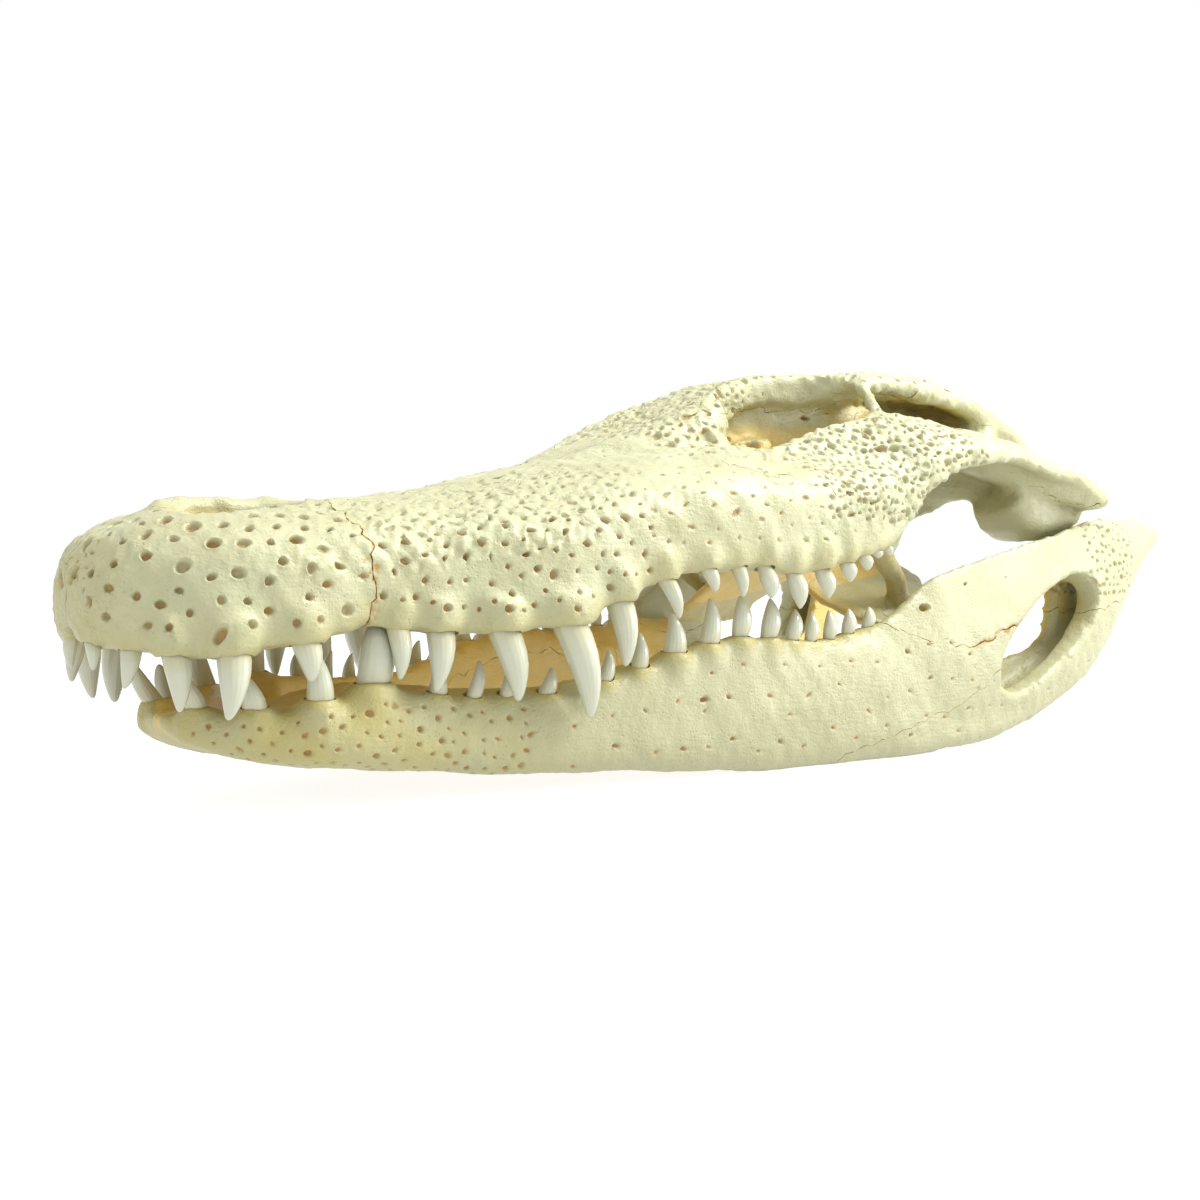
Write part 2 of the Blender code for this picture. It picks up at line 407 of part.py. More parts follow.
def tooth(shape, s, side, w, rim, length, breadth, behind, upward):
    """Add one pointed tooth, with its root in the bone."""
    way = 1 if upward else -1
    gum = place(s, w * side, rim)
    tip = place(s + behind, w * side, rim + way * length)
    turns = [2 * math.pi * (k + 0.5) / TOOTH_CORNERS for k in range(TOOTH_CORNERS)]
    root, belly_at, belly = TOOTH_SHAPE
    rings = []
    for rise, radius in ((-TOOTH_ROOT / length, root), (belly_at, belly)):
        centre = gum.lerp(tip, rise)
        rings.append([centre + Vector((math.cos(a), math.sin(a), 0)) * radius * breadth * UNIT
                      for a in turns])
    loft(shape, rings, tip)


def teeth(side, upper, first, last):
    """The teeth of one side's row whose sockets lie between two places along it."""
    shape = bmesh.new()
    line, rim = (TOOTH_LINE, ALVEOLAR) if upper else (JAW_TOOTH_LINE, JAW_RIM)
    for s, length, breadth, behind in (UPPER_TEETH if upper else LOWER_TEETH):
        if first < s < last:
            tooth(shape, s, side, along(line, s), along(rim, s), length, breadth, behind, not upper)
    return make_object("teeth", shape)


# Territories of the bones. Each is given for the left side, as boxes along s:
# (s, w from and to, h from and to). Bones are taken off in this order, so a later territory may
# reach over an earlier one.
SEAM = GAP / UNIT / 2         # half a suture, the left bones' distance from the middle
OUT = 30                      # a w outside the whole skull
TOP = 50                      # an h over the whole skull
SKULL_BONES = (
    ("nasal", True, ((4.4, SEAM, 1.2, 20.6, TOP), (15.6, SEAM, 1.3, 20.4, TOP),
                     (18.5, SEAM, 2.6, 20.4, TOP), (26, SEAM, 3.4, 21.2, TOP),
                     (38, SEAM, 3.3, 23.6, TOP), (47, SEAM, 2.4, 26.2, TOP),
                     (57, SEAM, 0.8, 30.4, TOP))),
    ("frontal", False, ((50, -0.7, 0.7, 28.0, TOP), (55, -2.4, 2.4, 29.6, TOP),
                        (60, -3.4, 3.4, 31.6, TOP), (63, -8.6, 8.6, 33.4, TOP),
                        (70, -8.6, 8.6, 34.2, TOP), (77.2, -8.6, 8.6, 34.4, TOP))),
    ("prefrontal", True, ((47, 2.6, 3.6, 26.4, TOP), (51, 1.6, 6.0, 26.6, TOP),
                          (55, 2.2, 7.6, 27.4, TOP), (59, 3.0, 8.6, 28.4, TOP),
                          (64.5, 3.4, 9.4, 29.6, TOP))),
    ("lacrimal", True, ((45, 4.4, 6.4, 24.6, TOP), (50, 5.6, 10.2, 24.2, TOP),
                        (55, 7.2, 12.0, 24.4, TOP), (61.6, 7.8, 13.6, 25.6, TOP))),
    ("ectopterygoid", True, ((68.8, 14.6, 17.3, 18.0, 23.0), (72, 13.6, 17.6, 17.0, 24.0),
                             (76, 13.0, 18.0, 14.0, 24.0), (80, 12.5, 18.0, 10.0, 20.0),
                             (88, 12.3, 16.0, 6.0, 18.0))),
    ("jugal", True, ((51, 12.6, OUT, 26.6, 27.8), (56, 11.8, OUT, 25.4, 34.4),
                     (61, 11.4, OUT, 24.2, 34.4), (66.5, 11.0, OUT, 22.9, 34.4),
                     (72, 11.6, OUT, 21.4, 34.4), (79, 12.4, OUT, 19.0, 34.4),
                     (83, 15.6, OUT, 19.0, 34.4), (90.5, 18.0, OUT, 19.0, 34.4))),
    ("quadratojugal", True, ((86, 17.2, OUT, 24.0, 34.4), (93, 18.4, OUT, 24.0, 34.4),
                             (99, 20.2, OUT, 24.2, 34.4), (104.3, 21.8, OUT, 24.4, 34.4))),
    ("squamosal", True, ((84.6, 9.3, 17.0, 34.2, TOP), (88, 8.7, 17.0, 34.0, TOP),
                         (94, 8.9, 17.0, 33.6, TOP), (97.4, 9.2, 17.0, 33.2, TOP),
                         (98.6, 9.3, 17.0, 31.0, TOP), (104.6, 9.3, 17.0, 29.0, TOP))),
    ("postorbital", True, ((73, 6.9, 17.0, 33.4, TOP), (78, 6.9, 17.0, 33.4, TOP),
                           (84.5, 8.2, 17.0, 34.0, TOP))),
    ("parietal", False, ((77.0, -9.3, 9.3, 34.6, TOP), (99, -9.3, 9.3, 34.4, TOP))),
    ("braincase", False, ((57.6, -4.6, 4.6, 22.6, 36), (76, -5.0, 5.0, 22.6, 36),
                          (83, -6.6, 6.6, 21.4, 36), (91.5, -7.4, 7.4, 17.6, 36),
                          (93.4, -11.6, 11.6, 17.6, 36), (99.0, -15.6, 15.6, 17.0, 36),
                          (104, -12.0, 12.0, 17.0, 36))),
    ("quadrate", True, ((82, 5.5, 21.0, 21.6, 35), (94, 5.5, 22.0, 21.6, 35),
                        (97, 5.5, OUT, 18.6, 35), (108, 5.5, OUT, 18.6, 35))),
    ("palatine", True, ((43.6, SEAM, 1.6, 13.0, 19.6), (47, SEAM, 4.8, 13.0, 21.6),
                        (58, SEAM, 4.6, 13.0, 22.4), (70.6, SEAM, 6.6, 13.0, 22.4))),
    ("pterygoid", True, ((69, SEAM, 16.0, 6.0, 23.0), (96, SEAM, 16.0, 6.0, 23.0))),
    ("premaxilla", True, ((-4, SEAM, OUT, 5, TOP), (16.5, SEAM, OUT, 5, TOP))),
    ("maxilla", True, ((16, SEAM, OUT, 5, TOP), (76, SEAM, OUT, 5, TOP))),
)
SKULL_TEETH = {"premaxilla": (-5, 16.6), "maxilla": (16.6, 80)}
JAW_BONES = (
    ("splenial", True, ((17.6, 0.5, 3.0, 3.2, 6.6), (22, 4.0, 7.6, 1.9, 5.4), (28, 6.0, 9.9, 1.2, 4.8),
                        (33, 7.6, 11.4, 0.9, 4.8), (40, 9.4, 13.1, 0.5, 6.0), (48, 11.0, 14.6, 0.2, 8.4),
                        (56, 12.2, 15.8, 0.2, 8.6), (66, 12.8, 16.3, 0.2, 8.6))),
    ("articular", True, ((97.6, 10.0, 19.6, 15.2, TOP), (108, 10.0, 19.6, 14.8, TOP),
                         (123, 10.0, 19.9, 15.4, TOP))),
    ("surangular", True, ((69.2, 10.0, OUT, 12.0, TOP), (72, 10.0, OUT, 10.6, TOP),
                          (80, 10.0, OUT, 9.4, TOP), (84, 10.0, OUT, 10.6, TOP),
                          (94, 10.0, OUT, 13.0, TOP), (103, 10.0, OUT, 12.4, TOP),
                          (123, 10.0, OUT, 16.5, TOP))),
    ("angular", True, ((62.0, 10.0, OUT, -3.0, -0.4), (68, 10.0, OUT, -3.0, 1.4),
                       (79, 10.0, OUT, -3.0, 3.8), (86, 10.0, OUT, -3.0, 7.4),
                       (88, 10.0, OUT, -3.0, 20.0), (123, 10.0, OUT, -3.0, 20.0))),
    ("dentary", True, ((3, SEAM, OUT, -3, TOP), (90, SEAM, OUT, -3, TOP))),
)
JAW_TEETH = {"dentary": (0, 80)}


def territory(stations, side, grow):
    """A bone's territory as a closed skin, grown all round by a margin."""
    shape = bmesh.new()
    rings = []
    last = len(stations) - 1
    for i, (s, w_from, w_to, h_from, h_to) in enumerate(stations):
        s += grow * ((i == last) - (i == 0))
        w_from, w_to, h_from, h_to = w_from - grow, w_to + grow, h_from - grow, h_to + grow
        rings.append([place(s, w * side, h) for w, h in
                      ((w_from, h_from), (w_to, h_from), (w_to, h_to), (w_from, h_to))])
    loft(shape, rings)
    return make_object("territory", shape)


def make_object(name, shape):
    """An object in the scene with this shape as its mesh."""
    mesh = bpy.data.meshes.new(name)
    shape.to_mesh(mesh)
    shape.free()
    thing = bpy.data.objects.new(name, mesh)
    bpy.context.scene.collection.objects.link(thing)
    return thing


def applied(thing):
    """The object's mesh with its modifiers applied, in place of the old one."""
    view = bpy.context.evaluated_depsgraph_get()
    mesh = bpy.data.meshes.new_from_object(thing.evaluated_get(view))
    thing.modifiers.clear()
    thing.data = mesh
    return thing


def reskinned(thing):
    """The object under one new skin of even small faces."""
    skin = thing.modifiers.new("skin", "REMESH")
    skin.mode = "VOXEL"
    skin.voxel_size = VOXEL
    return applied(thing)


def combined(thing, tool, operation, solver="EXACT"):
    """The object united with a tool, cut to it, or cut by it; the tool is used up."""
    step = thing.modifiers.new("combine", "BOOLEAN")
    step.operation = operation
    step.object = tool
    step.solver = solver
    applied(thing)
    bpy.data.objects.remove(tool)
    return thing


def islands(shape):
    """The separate bodies of a shape, as sets of its vertices."""
    left, found = set(shape.verts), []
    while left:
        body, edge = set(), [left.pop()]
        while edge:
            vert = edge.pop()
            body.add(vert)
            for link in vert.link_edges:
                other = link.other_vert(vert)
                if other in left:
                    left.remove(other)
                    edge.append(other)
        found.append(body)
    return found


def keep_largest(thing):
    """Drop the crumbs that a cut leaves beside its bone."""
    shape = bmesh.new()
    shape.from_mesh(thing.data)
    bodies = sorted(islands(shape), key=len)
    crumbs = [vert for body in bodies[:-1] for vert in body]
    bmesh.ops.delete(shape, geom=crumbs, context="VERTS")
    shape.to_mesh(thing.data)
    shape.free()
    return thing


def thinned(thing, ratio, symmetric=True):
    """The object with only this share of its triangles, the ones that shape it most."""
    thin = thing.modifiers.new("thin", "DECIMATE")
    thin.ratio = ratio
    thin.use_symmetry = symmetric
    thin.symmetry_axis = "Y"
    return applied(thing)


def mirrored(thing, name):
    """The same bone of the right side."""
    shape = bmesh.new()
    shape.from_mesh(thing.data)
    bmesh.ops.scale(shape, vec=(1, -1, 1), verts=shape.verts)
    bmesh.ops.reverse_faces(shape, faces=shape.faces)
    return make_object(name, shape)


def fused(name, masses, hollows, triangles):
    """Masses fused into one skin, with the hollows cut out, in about this many triangles."""
    body = reskinned(make_object(name, masses))
    tool = reskinned(make_object("hollows", hollows))
    keep_largest(combined(body, tool, "DIFFERENCE"))
    reskinned(body)
    ease = body.modifiers.new("ease", "SMOOTH")
    ease.iterations = EASINGS
    applied(body)
    shape = bmesh.new()
    shape.from_mesh(body.data)
    parts = shape.verts[:] + shape.edges[:] + shape.faces[:]
    bmesh.ops.symmetrize(shape, input=parts, direction="-Y", dist=MIDDLE_BAND)
    shape.to_mesh(body.data)
    shape.free()
    return thinned(body, triangles / sum(len(face.vertices) - 2 for face in body.data.polygons))


def part_bones(body, bones, rows):
    """Part a body along its sutures; return its bones by name. These cuts meet in many thin
    slivers, where the exact solver leaves edges open, so they take the manifold solver."""
    made = {}
    for name, paired, stations in bones:
        bone = make_object(name + "_L" if paired else name, bmesh.new())
        bone.data = body.data.copy()
        keep_largest(combined(bone, territory(stations, 1, 0), "INTERSECT", "MANIFOLD"))
        thinned(bone, SLIVERS_OFF, not paired)
        for side in sides(paired):
            combined(body, territory(stations, side, 2 * SEAM), "DIFFERENCE", "MANIFOLD")
        if bones is JAW_BONES:
            combined(bone, floor_block(), "DIFFERENCE", "MANIFOLD")
        if name in rows:
            combined(bone, teeth(1, bones is SKULL_BONES, *rows[name]), "UNION", "MANIFOLD")
        made[bone.name] = bone
        if paired:
            made[name + "_R"] = mirrored(bone, name + "_R")
    bpy.data.objects.remove(body)
    return made


BONE_COLOUR = (0.83, 0.79, 0.60)
BONE_ROUGHNESS = 0.6
SHADES = (0.94, 0.96, 0.98, 1.0)    # neighbouring bones differ a little in shade


def finish(name, shade):
    """The pale bone of one piece, a little lighter or darker than its neighbours."""
    surface = bpy.data.materials.new("bone_" + name)
    surface.use_nodes = True
    shader = surface.node_tree.nodes["Principled BSDF"]
    shader.inputs["Base Color"].default_value = [shade * part for part in BONE_COLOUR] + [1]
    shader.inputs["Roughness"].default_value = BONE_ROUGHNESS
    shader.inputs["Metallic"].default_value = 0
    return surface


def floor_block():
    """Everything under the table's surface, which trims the jaw's feet flat."""
    shape = bmesh.new()
    bmesh.ops.create_cube(shape, size=1, matrix=Matrix.Translation((0, 0, -0.5)))
    return make_object("floor", shape)


def main():
    for thing in list(bpy.data.objects):
        bpy.data.objects.remove(thing)
    skull = fused("skull", skull_masses(), skull_hollows(), SKULL_TRIANGLES)
    jaw = fused("jaw", jaw_masses(), jaw_hollows(), JAW_TRIANGLES)
    bones = part_bones(skull, SKULL_BONES, SKULL_TEETH)
    bones.update(part_bones(jaw, JAW_BONES, JAW_TEETH))
    for k, (name, bone) in enumerate(bones.items()):
        bone.data.materials.clear()
        bone.data.materials.append(finish(name, SHADES[k % len(SHADES)]))
        bone.data.shade_smooth()
        bone.data.set_sharp_from_angle(angle=CREASE)


main()
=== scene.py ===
# %% [markdown]
# # The skull of an American alligator
# A cleaned skull with its jaws a little open stands on its lower jaw. It is a museum's still model, so
# nothing moves. The bones, and each tooth, are separate pieces, as they are when a real skull comes
# apart. The bones are the CAD's bones with their pits, sutures and sockets, and the CAD's box is kept
# from here, so that the skin's waves can be held inside it.

# %% Load the frame
import math
from collections import namedtuple

import bmesh
import bpy
import numpy as np
from mathutils import Matrix, Vector
from mathutils.bvhtree import BVHTree


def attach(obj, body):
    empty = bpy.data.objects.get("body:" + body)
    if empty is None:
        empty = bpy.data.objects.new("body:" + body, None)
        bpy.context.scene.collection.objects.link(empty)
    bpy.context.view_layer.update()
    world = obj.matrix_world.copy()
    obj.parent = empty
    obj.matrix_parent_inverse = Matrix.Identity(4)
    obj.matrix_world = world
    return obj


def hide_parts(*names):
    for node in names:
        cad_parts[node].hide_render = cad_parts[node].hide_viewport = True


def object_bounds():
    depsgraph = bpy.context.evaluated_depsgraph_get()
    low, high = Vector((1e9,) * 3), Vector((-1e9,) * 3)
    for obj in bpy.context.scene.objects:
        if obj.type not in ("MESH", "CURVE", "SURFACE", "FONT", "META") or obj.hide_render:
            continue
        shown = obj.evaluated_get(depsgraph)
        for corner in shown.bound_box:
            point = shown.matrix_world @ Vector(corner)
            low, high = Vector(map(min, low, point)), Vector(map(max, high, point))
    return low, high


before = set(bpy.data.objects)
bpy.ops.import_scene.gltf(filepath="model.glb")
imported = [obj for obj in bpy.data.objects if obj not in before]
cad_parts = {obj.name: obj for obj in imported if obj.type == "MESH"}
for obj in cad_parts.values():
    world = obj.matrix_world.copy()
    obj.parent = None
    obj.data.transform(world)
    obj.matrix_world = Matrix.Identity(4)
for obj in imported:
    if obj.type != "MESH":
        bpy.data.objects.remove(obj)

CAD_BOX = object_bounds()
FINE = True
bpy.ops.object.select_all(action="DESELECT")
print("CAD box in mm:", [round(1000 * value) for corner in CAD_BOX for value in corner])

# %% [markdown]
# ## Measures
# Skulls are measured in hundredths of their dorsal length, from the snout's tip to the back of the
# skull table. A place is (s, w, h): s back from the tip, w out to the animal's left, and h up from
# a level near the jaw's foot. One function turns such a place into metres, and one turns metres
# back.

# %% Units
SKULL_LENGTH = 0.340          # dorsal length, in metres
UNIT = SKULL_LENGTH / 100
MIDDLE = 59.76                # the s that stands at x = 0
FLOOR_LEVEL = -0.9            # the h that stands on the floor, at z = 0


def place(s, w, h):
    """The point at (s, w, h), in metres."""
    return Vector(((s - MIDDLE) * UNIT, -w * UNIT, (h - FLOOR_LEVEL) * UNIT))


def measured(points):
    """Points in metres as columns s, w and h."""
    return points[:, 0] / UNIT + MIDDLE, -points[:, 1] / UNIT, points[:, 2] / UNIT + FLOOR_LEVEL


def along(curve, s):
    """Value at s on a smooth line through a curve's (s, value) pairs, with no overshoot."""
    if s <= curve[0][0]:
        return curve[0][1]
    if s >= curve[-1][0]:
        return curve[-1][1]
    steps = [(q[1] - p[1]) / (q[0] - p[0]) for p, q in zip(curve, curve[1:])]
    slopes = [steps[0]]
    for before, after in zip(steps, steps[1:]):
        slopes.append(2 * before * after / (before + after) if before * after > 0 else 0)
    slopes.append(steps[-1])
    i = max(k for k, point in enumerate(curve[:-1]) if point[0] <= s)
    (s0, v0), (s1, v1) = curve[i], curve[i + 1]
    width = s1 - s0
    t = (s - s0) / width
    return (v0 * (1 + 2 * t) * (1 - t) ** 2 + slopes[i] * width * t * (1 - t) ** 2
            + v1 * t * t * (3 - 2 * t) - slopes[i + 1] * width * t * t * (1 - t))


def spaced(first, last, count):
    """Evenly spaced values from first to last."""
    return [first + (last - first) * k / (count - 1) for k in range(count)]


print("one unit is", round(1000 * UNIT, 2), "mm")

# %% [markdown]
# ## Camera, light and floor
# The photograph looks past the snout at the animal's left side, from almost the height of the jaws,
# with a rather long lens. A studio sweep is white all round, so a white sky lights the skull evenly.
# A wide lamp beyond the hinge of the jaws brightens the cheek and lets the snout fall into a soft
# shade, a second one lights the skull's roof from above, and a small low one at the rear reaches
# under the cheek. The paper glows a little, as a sweep that is lit from below does.

# %% Camera
AZIMUTH = math.radians(41.81)           # at 0 it would look square at the animal's left side
DOWN = math.radians(0.75)               # how far it looks down
ROLL = math.radians(-0.26)
DISTANCE = 130.34 * UNIT
LOOK_AT = place(49.91, 0, 14.29)
FOCAL_PIXELS = 1350                     # focal length, in pixels of the photograph
PICTURE = 1200                          # breadth of the photograph, in pixels
SENSOR = 36.0                           # breadth of the camera's sensor, in millimetres
NEAREST = 0.01                          # nothing nearer than this is drawn, in metres

forward = Vector((math.sin(AZIMUTH) * math.cos(DOWN), math.cos(AZIMUTH) * math.cos(DOWN),
                  -math.sin(DOWN)))
level = Vector((math.cos(AZIMUTH), -math.sin(AZIMUTH), 0))
upward = level.cross(forward)
right = math.cos(ROLL) * level + math.sin(ROLL) * upward
top = math.cos(ROLL) * upward - math.sin(ROLL) * level
lens = bpy.data.cameras.new("camera")
lens.sensor_width = SENSOR
lens.lens = FOCAL_PIXELS / PICTURE * SENSOR
lens.clip_start = NEAREST
camera = bpy.data.objects.new("camera", lens)
camera.matrix_world = Matrix((right, top, -forward)).transposed().to_4x4()
camera.location = LOOK_AT - DISTANCE * forward
bpy.context.scene.collection.objects.link(camera)
bpy.context.scene.camera = camera
bpy.context.scene.view_settings.view_transform = "Standard"
print("camera at", [round(value, 3) for value in camera.location])

# %% Light
SKY = 1.0                     # as bright as the lit paper, so that there is no horizon
LAMPS = (("lamp_main", (0.53, -0.46, 0.80), 0.5, 14),       # name, place, breadth and watts
         ("lamp_top", (0.10, -0.15, 1.45), 0.8, 9),
         ("lamp_rear", (0.45, -0.45, 0.12), 0.25, 1.3))

sky = bpy.data.worlds.new("studio")
sky.use_nodes = True
background = sky.node_tree.nodes["Background"].inputs
background["Color"].default_value = (1, 1, 1, 1)
background["Strength"].default_value = SKY
bpy.context.scene.world = sky


def softbox(name, spot, size, power):
    """A wide lamp at a spot, turned to the middle of the skull."""
    lamp = bpy.data.lights.new(name, "AREA")
    lamp.shape = "DISK"
    lamp.size = size
    lamp.energy = power
    stand = bpy.data.objects.new(name, lamp)
    stand.location = spot
    stand.rotation_euler = (LOOK_AT - Vector(spot)).to_track_quat("-Z", "Y").to_euler()
    bpy.context.scene.collection.objects.link(stand)


for lamp_settings in LAMPS:
    softbox(*lamp_settings)

# %% Floor
FLOOR_SIZE = 8                # in metres, so wide that its edge is never seen
PAPER_GREY = 0.25
PAPER_ROUGHNESS = 0.9
PAPER_GLOW = 0.86

bpy.ops.mesh.primitive_plane_add(size=FLOOR_SIZE)
floor = bpy.context.object
floor.name = "floor"
paper = bpy.data.materials.new("white_paper")
paper.use_nodes = True
surface = paper.node_tree.nodes["Principled BSDF"].inputs
surface["Base Color"].default_value = (PAPER_GREY, PAPER_GREY, PAPER_GREY, 1)
surface["Roughness"].default_value = PAPER_ROUGHNESS
surface["Emission Color"].default_value = (1, 1, 1, 1)
surface["Emission Strength"].default_value = PAPER_GLOW
floor.data.materials.append(paper)
print("floor:", FLOOR_SIZE, "by", FLOOR_SIZE, "metres")

# %% [markdown]
# ## Teeth
# An alligator's teeth are cones that stand in round sockets. The long ones bow a little outward and
# most lean back, and the ones at the rear are short leaves with a waist at the gum. They could be
# turned from a profile, but a ring of edges that is extruded and narrowed again and again is the
# same thing and keeps the faces even. Three patterns are made that way, and each tooth is its own
# copy, fitted to its socket. The teeth come first, while the scene is light and every step quick.

# %% Patterns of a tooth
TOOTH_SIDES = 18
ROOT_END = -0.55              # height of a root's end, where the gum is 0 and the tip is 1


def tooth_pattern(name, profile):
    """A tooth of unit height and breadth, from rings of (height, radius) to a rounded tip."""
    height, radius = profile[0]
    bpy.ops.object.select_all(action="DESELECT")
    bpy.ops.mesh.primitive_circle_add(vertices=TOOTH_SIDES, radius=radius, fill_type="NGON",
                                      location=(0, 0, height))
    pattern = bpy.context.object
    pattern.name = name
    bpy.ops.object.transform_apply()
    bpy.ops.object.mode_set(mode="EDIT")
    bpy.ops.mesh.select_all(action="SELECT")
    for next_height, next_radius in profile[1:]:
        bpy.ops.mesh.extrude_region_move(
            TRANSFORM_OT_translate={"value": (0, 0, next_height - height)})
        share = next_radius / radius
        bpy.ops.transform.resize(value=(share, share, 1), center_override=(0, 0, next_height))
        height, radius = next_height, next_radius
    bpy.ops.mesh.poke()
    bpy.ops.mesh.select_all(action="SELECT")
    bpy.ops.mesh.normals_make_consistent(inside=False)
    bpy.ops.object.mode_set(mode="OBJECT")
    print(name, "has", len(pattern.data.polygons), "faces")
    return pattern


LONG_TOOTH = ((ROOT_END, 0.34), (-0.3, 0.42), (0.0, 0.465), (0.12, 0.47), (0.3, 0.44), (0.48, 0.385),
              (0.64, 0.315), (0.78, 0.24), (0.88, 0.175), (0.94, 0.13), (0.975, 0.085), (0.995, 0.035))
BLUNT_TOOTH = ((ROOT_END, 0.38), (-0.3, 0.44), (0.0, 0.46), (0.15, 0.485), (0.35, 0.495), (0.55, 0.47),
               (0.72, 0.40), (0.84, 0.30), (0.93, 0.18), (0.98, 0.08))
LEAF_TOOTH = ((ROOT_END, 0.34), (-0.3, 0.38), (0.0, 0.40), (0.1, 0.42), (0.22, 0.47), (0.36, 0.50),
              (0.5, 0.475), (0.64, 0.405), (0.78, 0.30), (0.89, 0.185), (0.955, 0.105), (0.99, 0.04))
patterns = {"long": tooth_pattern("pattern_long", LONG_TOOTH),
            "blunt": tooth_pattern("pattern_blunt", BLUNT_TOOTH),
            "leaf": tooth_pattern("pattern_leaf", LEAF_TOOTH)}

# %% Rows of teeth
# Each tooth: s, length of its crown, breadth at the gum, and how far its tip lies behind the gum.
UPPER_TEETH = ((-0.1, 2.0, 1.2, 0.0), (1.5, 2.9, 1.6, -0.5), (3.4, 4.0, 2.1, 0.3),
               (6.7, 4.7, 2.6, -0.4), (11.7, 3.0, 2.3, 0.5), (19.1, 3.9, 1.9, 0.2),
               (22.4, 4.7, 2.4, -0.4), (27.1, 5.7, 2.9, 1.5), (32.5, 7.8, 3.3, 2.3),
               (37.4, 5.5, 2.6, 0.8), (41.9, 3.3, 1.8, 1.6), (46.2, 2.1, 1.7, 1.0),
               (49.6, 2.6, 1.5, 0.7), (52.7, 2.8, 1.9, 0.9), (56.1, 3.5, 2.0, 1.1),
               (59.7, 2.9, 2.0, 1.2), (63.0, 2.1, 1.8, 0.8), (65.5, 1.7, 1.6, 0.8),
               (67.4, 1.0, 1.3, 0.5), (69.1, 1.1, 1.1, 0.5))
LOWER_TEETH = ((6.9, 3.6, 1.9, -2.0), (9.8, 2.9, 2.0, -1.0), (13.8, 4.2, 2.2, -0.7),
               (18.1, 5.0, 2.8, 0.2), (23.4, 2.4, 1.6, -0.3), (26.4, 2.9, 1.4, 0.6),
               (29.2, 2.6, 1.4, 0.3), (32.6, 2.2, 1.6, 0.6), (37.9, 2.5, 1.5, 0.5),
               (41.2, 3.0, 1.6, 0.0), (44.7, 3.6, 2.2, -0.3), (48.2, 4.0, 2.1, 0.3),
               (51.6, 3.8, 2.0, 0.1), (54.8, 3.8, 2.0, 0.4), (57.7, 3.0, 1.7, 0.6),
               (60.1, 2.8, 1.5, 0.3), (62.6, 2.8, 1.5, 0.1), (65.2, 2.5, 1.6, 0.3),
               (68.0, 2.2, 1.5, 0.5))

# Lines that the rows stand on: how far out a row lies (s, w), and how high its gum is (s, h).
TOOTH_LINE = ((-1.3, 0.3), (0, 2.2), (1.5, 4.9), (3.4, 7.8), (6.9, 10.0), (11.7, 11.0),
              (16.6, 11.0), (19.1, 11.7), (22.4, 12.5), (27.2, 14.2), (32.7, 15.7), (37.4, 16.2),
              (41.8, 17.1), (49.6, 18.2), (56.3, 18.8), (63, 19.3), (70, 19.5))
ALVEOLAR = ((-1.3, 12.6), (0, 11.9), (1.5, 11.6), (3.4, 11.1), (6.9, 11.2), (11.7, 11.9),
            (16.6, 12.8), (22.4, 12.4), (27.2, 12.4), (32.7, 12.9), (37.4, 14.6), (41.8, 16.2),
            (46, 17.2), (52, 17.3), (56.3, 17.0), (59.7, 17.3), (63, 18.0), (66, 18.8),
            (70, 19.7))
JAW_TOOTH_LINE = ((5.2, 0.6), (6.6, 3.2), (9.2, 6.6), (13.4, 9.4), (18, 9.8), (22, 10.5), (28, 11.6),
                  (33, 12.8), (40, 14.4), (48, 15.9), (55, 17.0), (62, 17.6), (70, 18.0))
JAW_RIM = ((5.2, 6.2), (6.9, 6.8), (9.7, 6.7), (13.5, 7.2), (18, 8.3), (22, 7.6), (28, 6.9),
           (33, 6.9), (38, 7.9), (44.8, 9.8), (51.8, 11.0), (56, 10.6), (60.5, 10.4), (68.3, 11.4),
           (77, 12.0))


def row_of(upper):
    """A jaw's row of teeth, the line that it stands on, and the height of its gum."""
    return (UPPER_TEETH, TOOTH_LINE, ALVEOLAR) if upper else (LOWER_TEETH, JAW_TOOTH_LINE, JAW_RIM)


print(len(UPPER_TEETH), "upper and", len(LOWER_TEETH), "lower teeth on each side")

# %% [markdown]
# Numpy moves all the vertices of a mesh at once, where a loop would take one after the other. So the
# vertices are read into an array, worked on there, and put back. Numbers kept on the vertices reach
# the materials as attributes.

# %% Vertices in and out


def kept(pattern, name):
    """A new object with its own copy of a pattern's mesh."""
    piece = bpy.data.objects.new(name, pattern.data.copy())
    bpy.context.scene.collection.objects.link(piece)
    return piece


def points_of(thing):
    """The places of an object's vertices, one row each."""
    points = np.empty(len(thing.data.vertices) * 3, np.float32)
    thing.data.vertices.foreach_get("co", points)
    return points.reshape(-1, 3).astype(float)


def put_points(thing, points):
    """Move an object's vertices to these places."""
    thing.data.vertices.foreach_set("co", points.astype(np.float32).ravel())
    thing.data.update()


def put_value(thing, name, values):
    """Keep one number for each vertex, for materials to read."""
    layer = thing.data.attributes.get(name) or thing.data.attributes.new(name, "FLOAT", "POINT")
    layer.data.foreach_set("value", np.asarray(values, np.float32))


print("patterns:", [len(points_of(pattern)) for pattern in patterns.values()], "vertices")

# %% Set the teeth
REAR_TEETH = 50               # behind this s the teeth are leaves
BLUNT_NUMBER = 4              # the lower jaw's great tooth, which is blunt
FLATNESS = {"long": 0.94, "blunt": 0.94, "leaf": 0.8}       # thickness, in breadths
BOW = 0.10                    # how far a crown bows, as a share of its length
ROOT_MOST = 4.2               # the longest crown whose root is as deep in proportion
INWARD = 0.30                 # how far a root leans inward, as a share of its depth


def root_of(length, behind, upper):
    """Where a root ends, seen from its gum: how far back, inward and into the bone."""
    depth = -ROOT_END * min(length, ROOT_MOST)
    return -behind * depth / length, -INWARD * depth, depth if upper else -depth


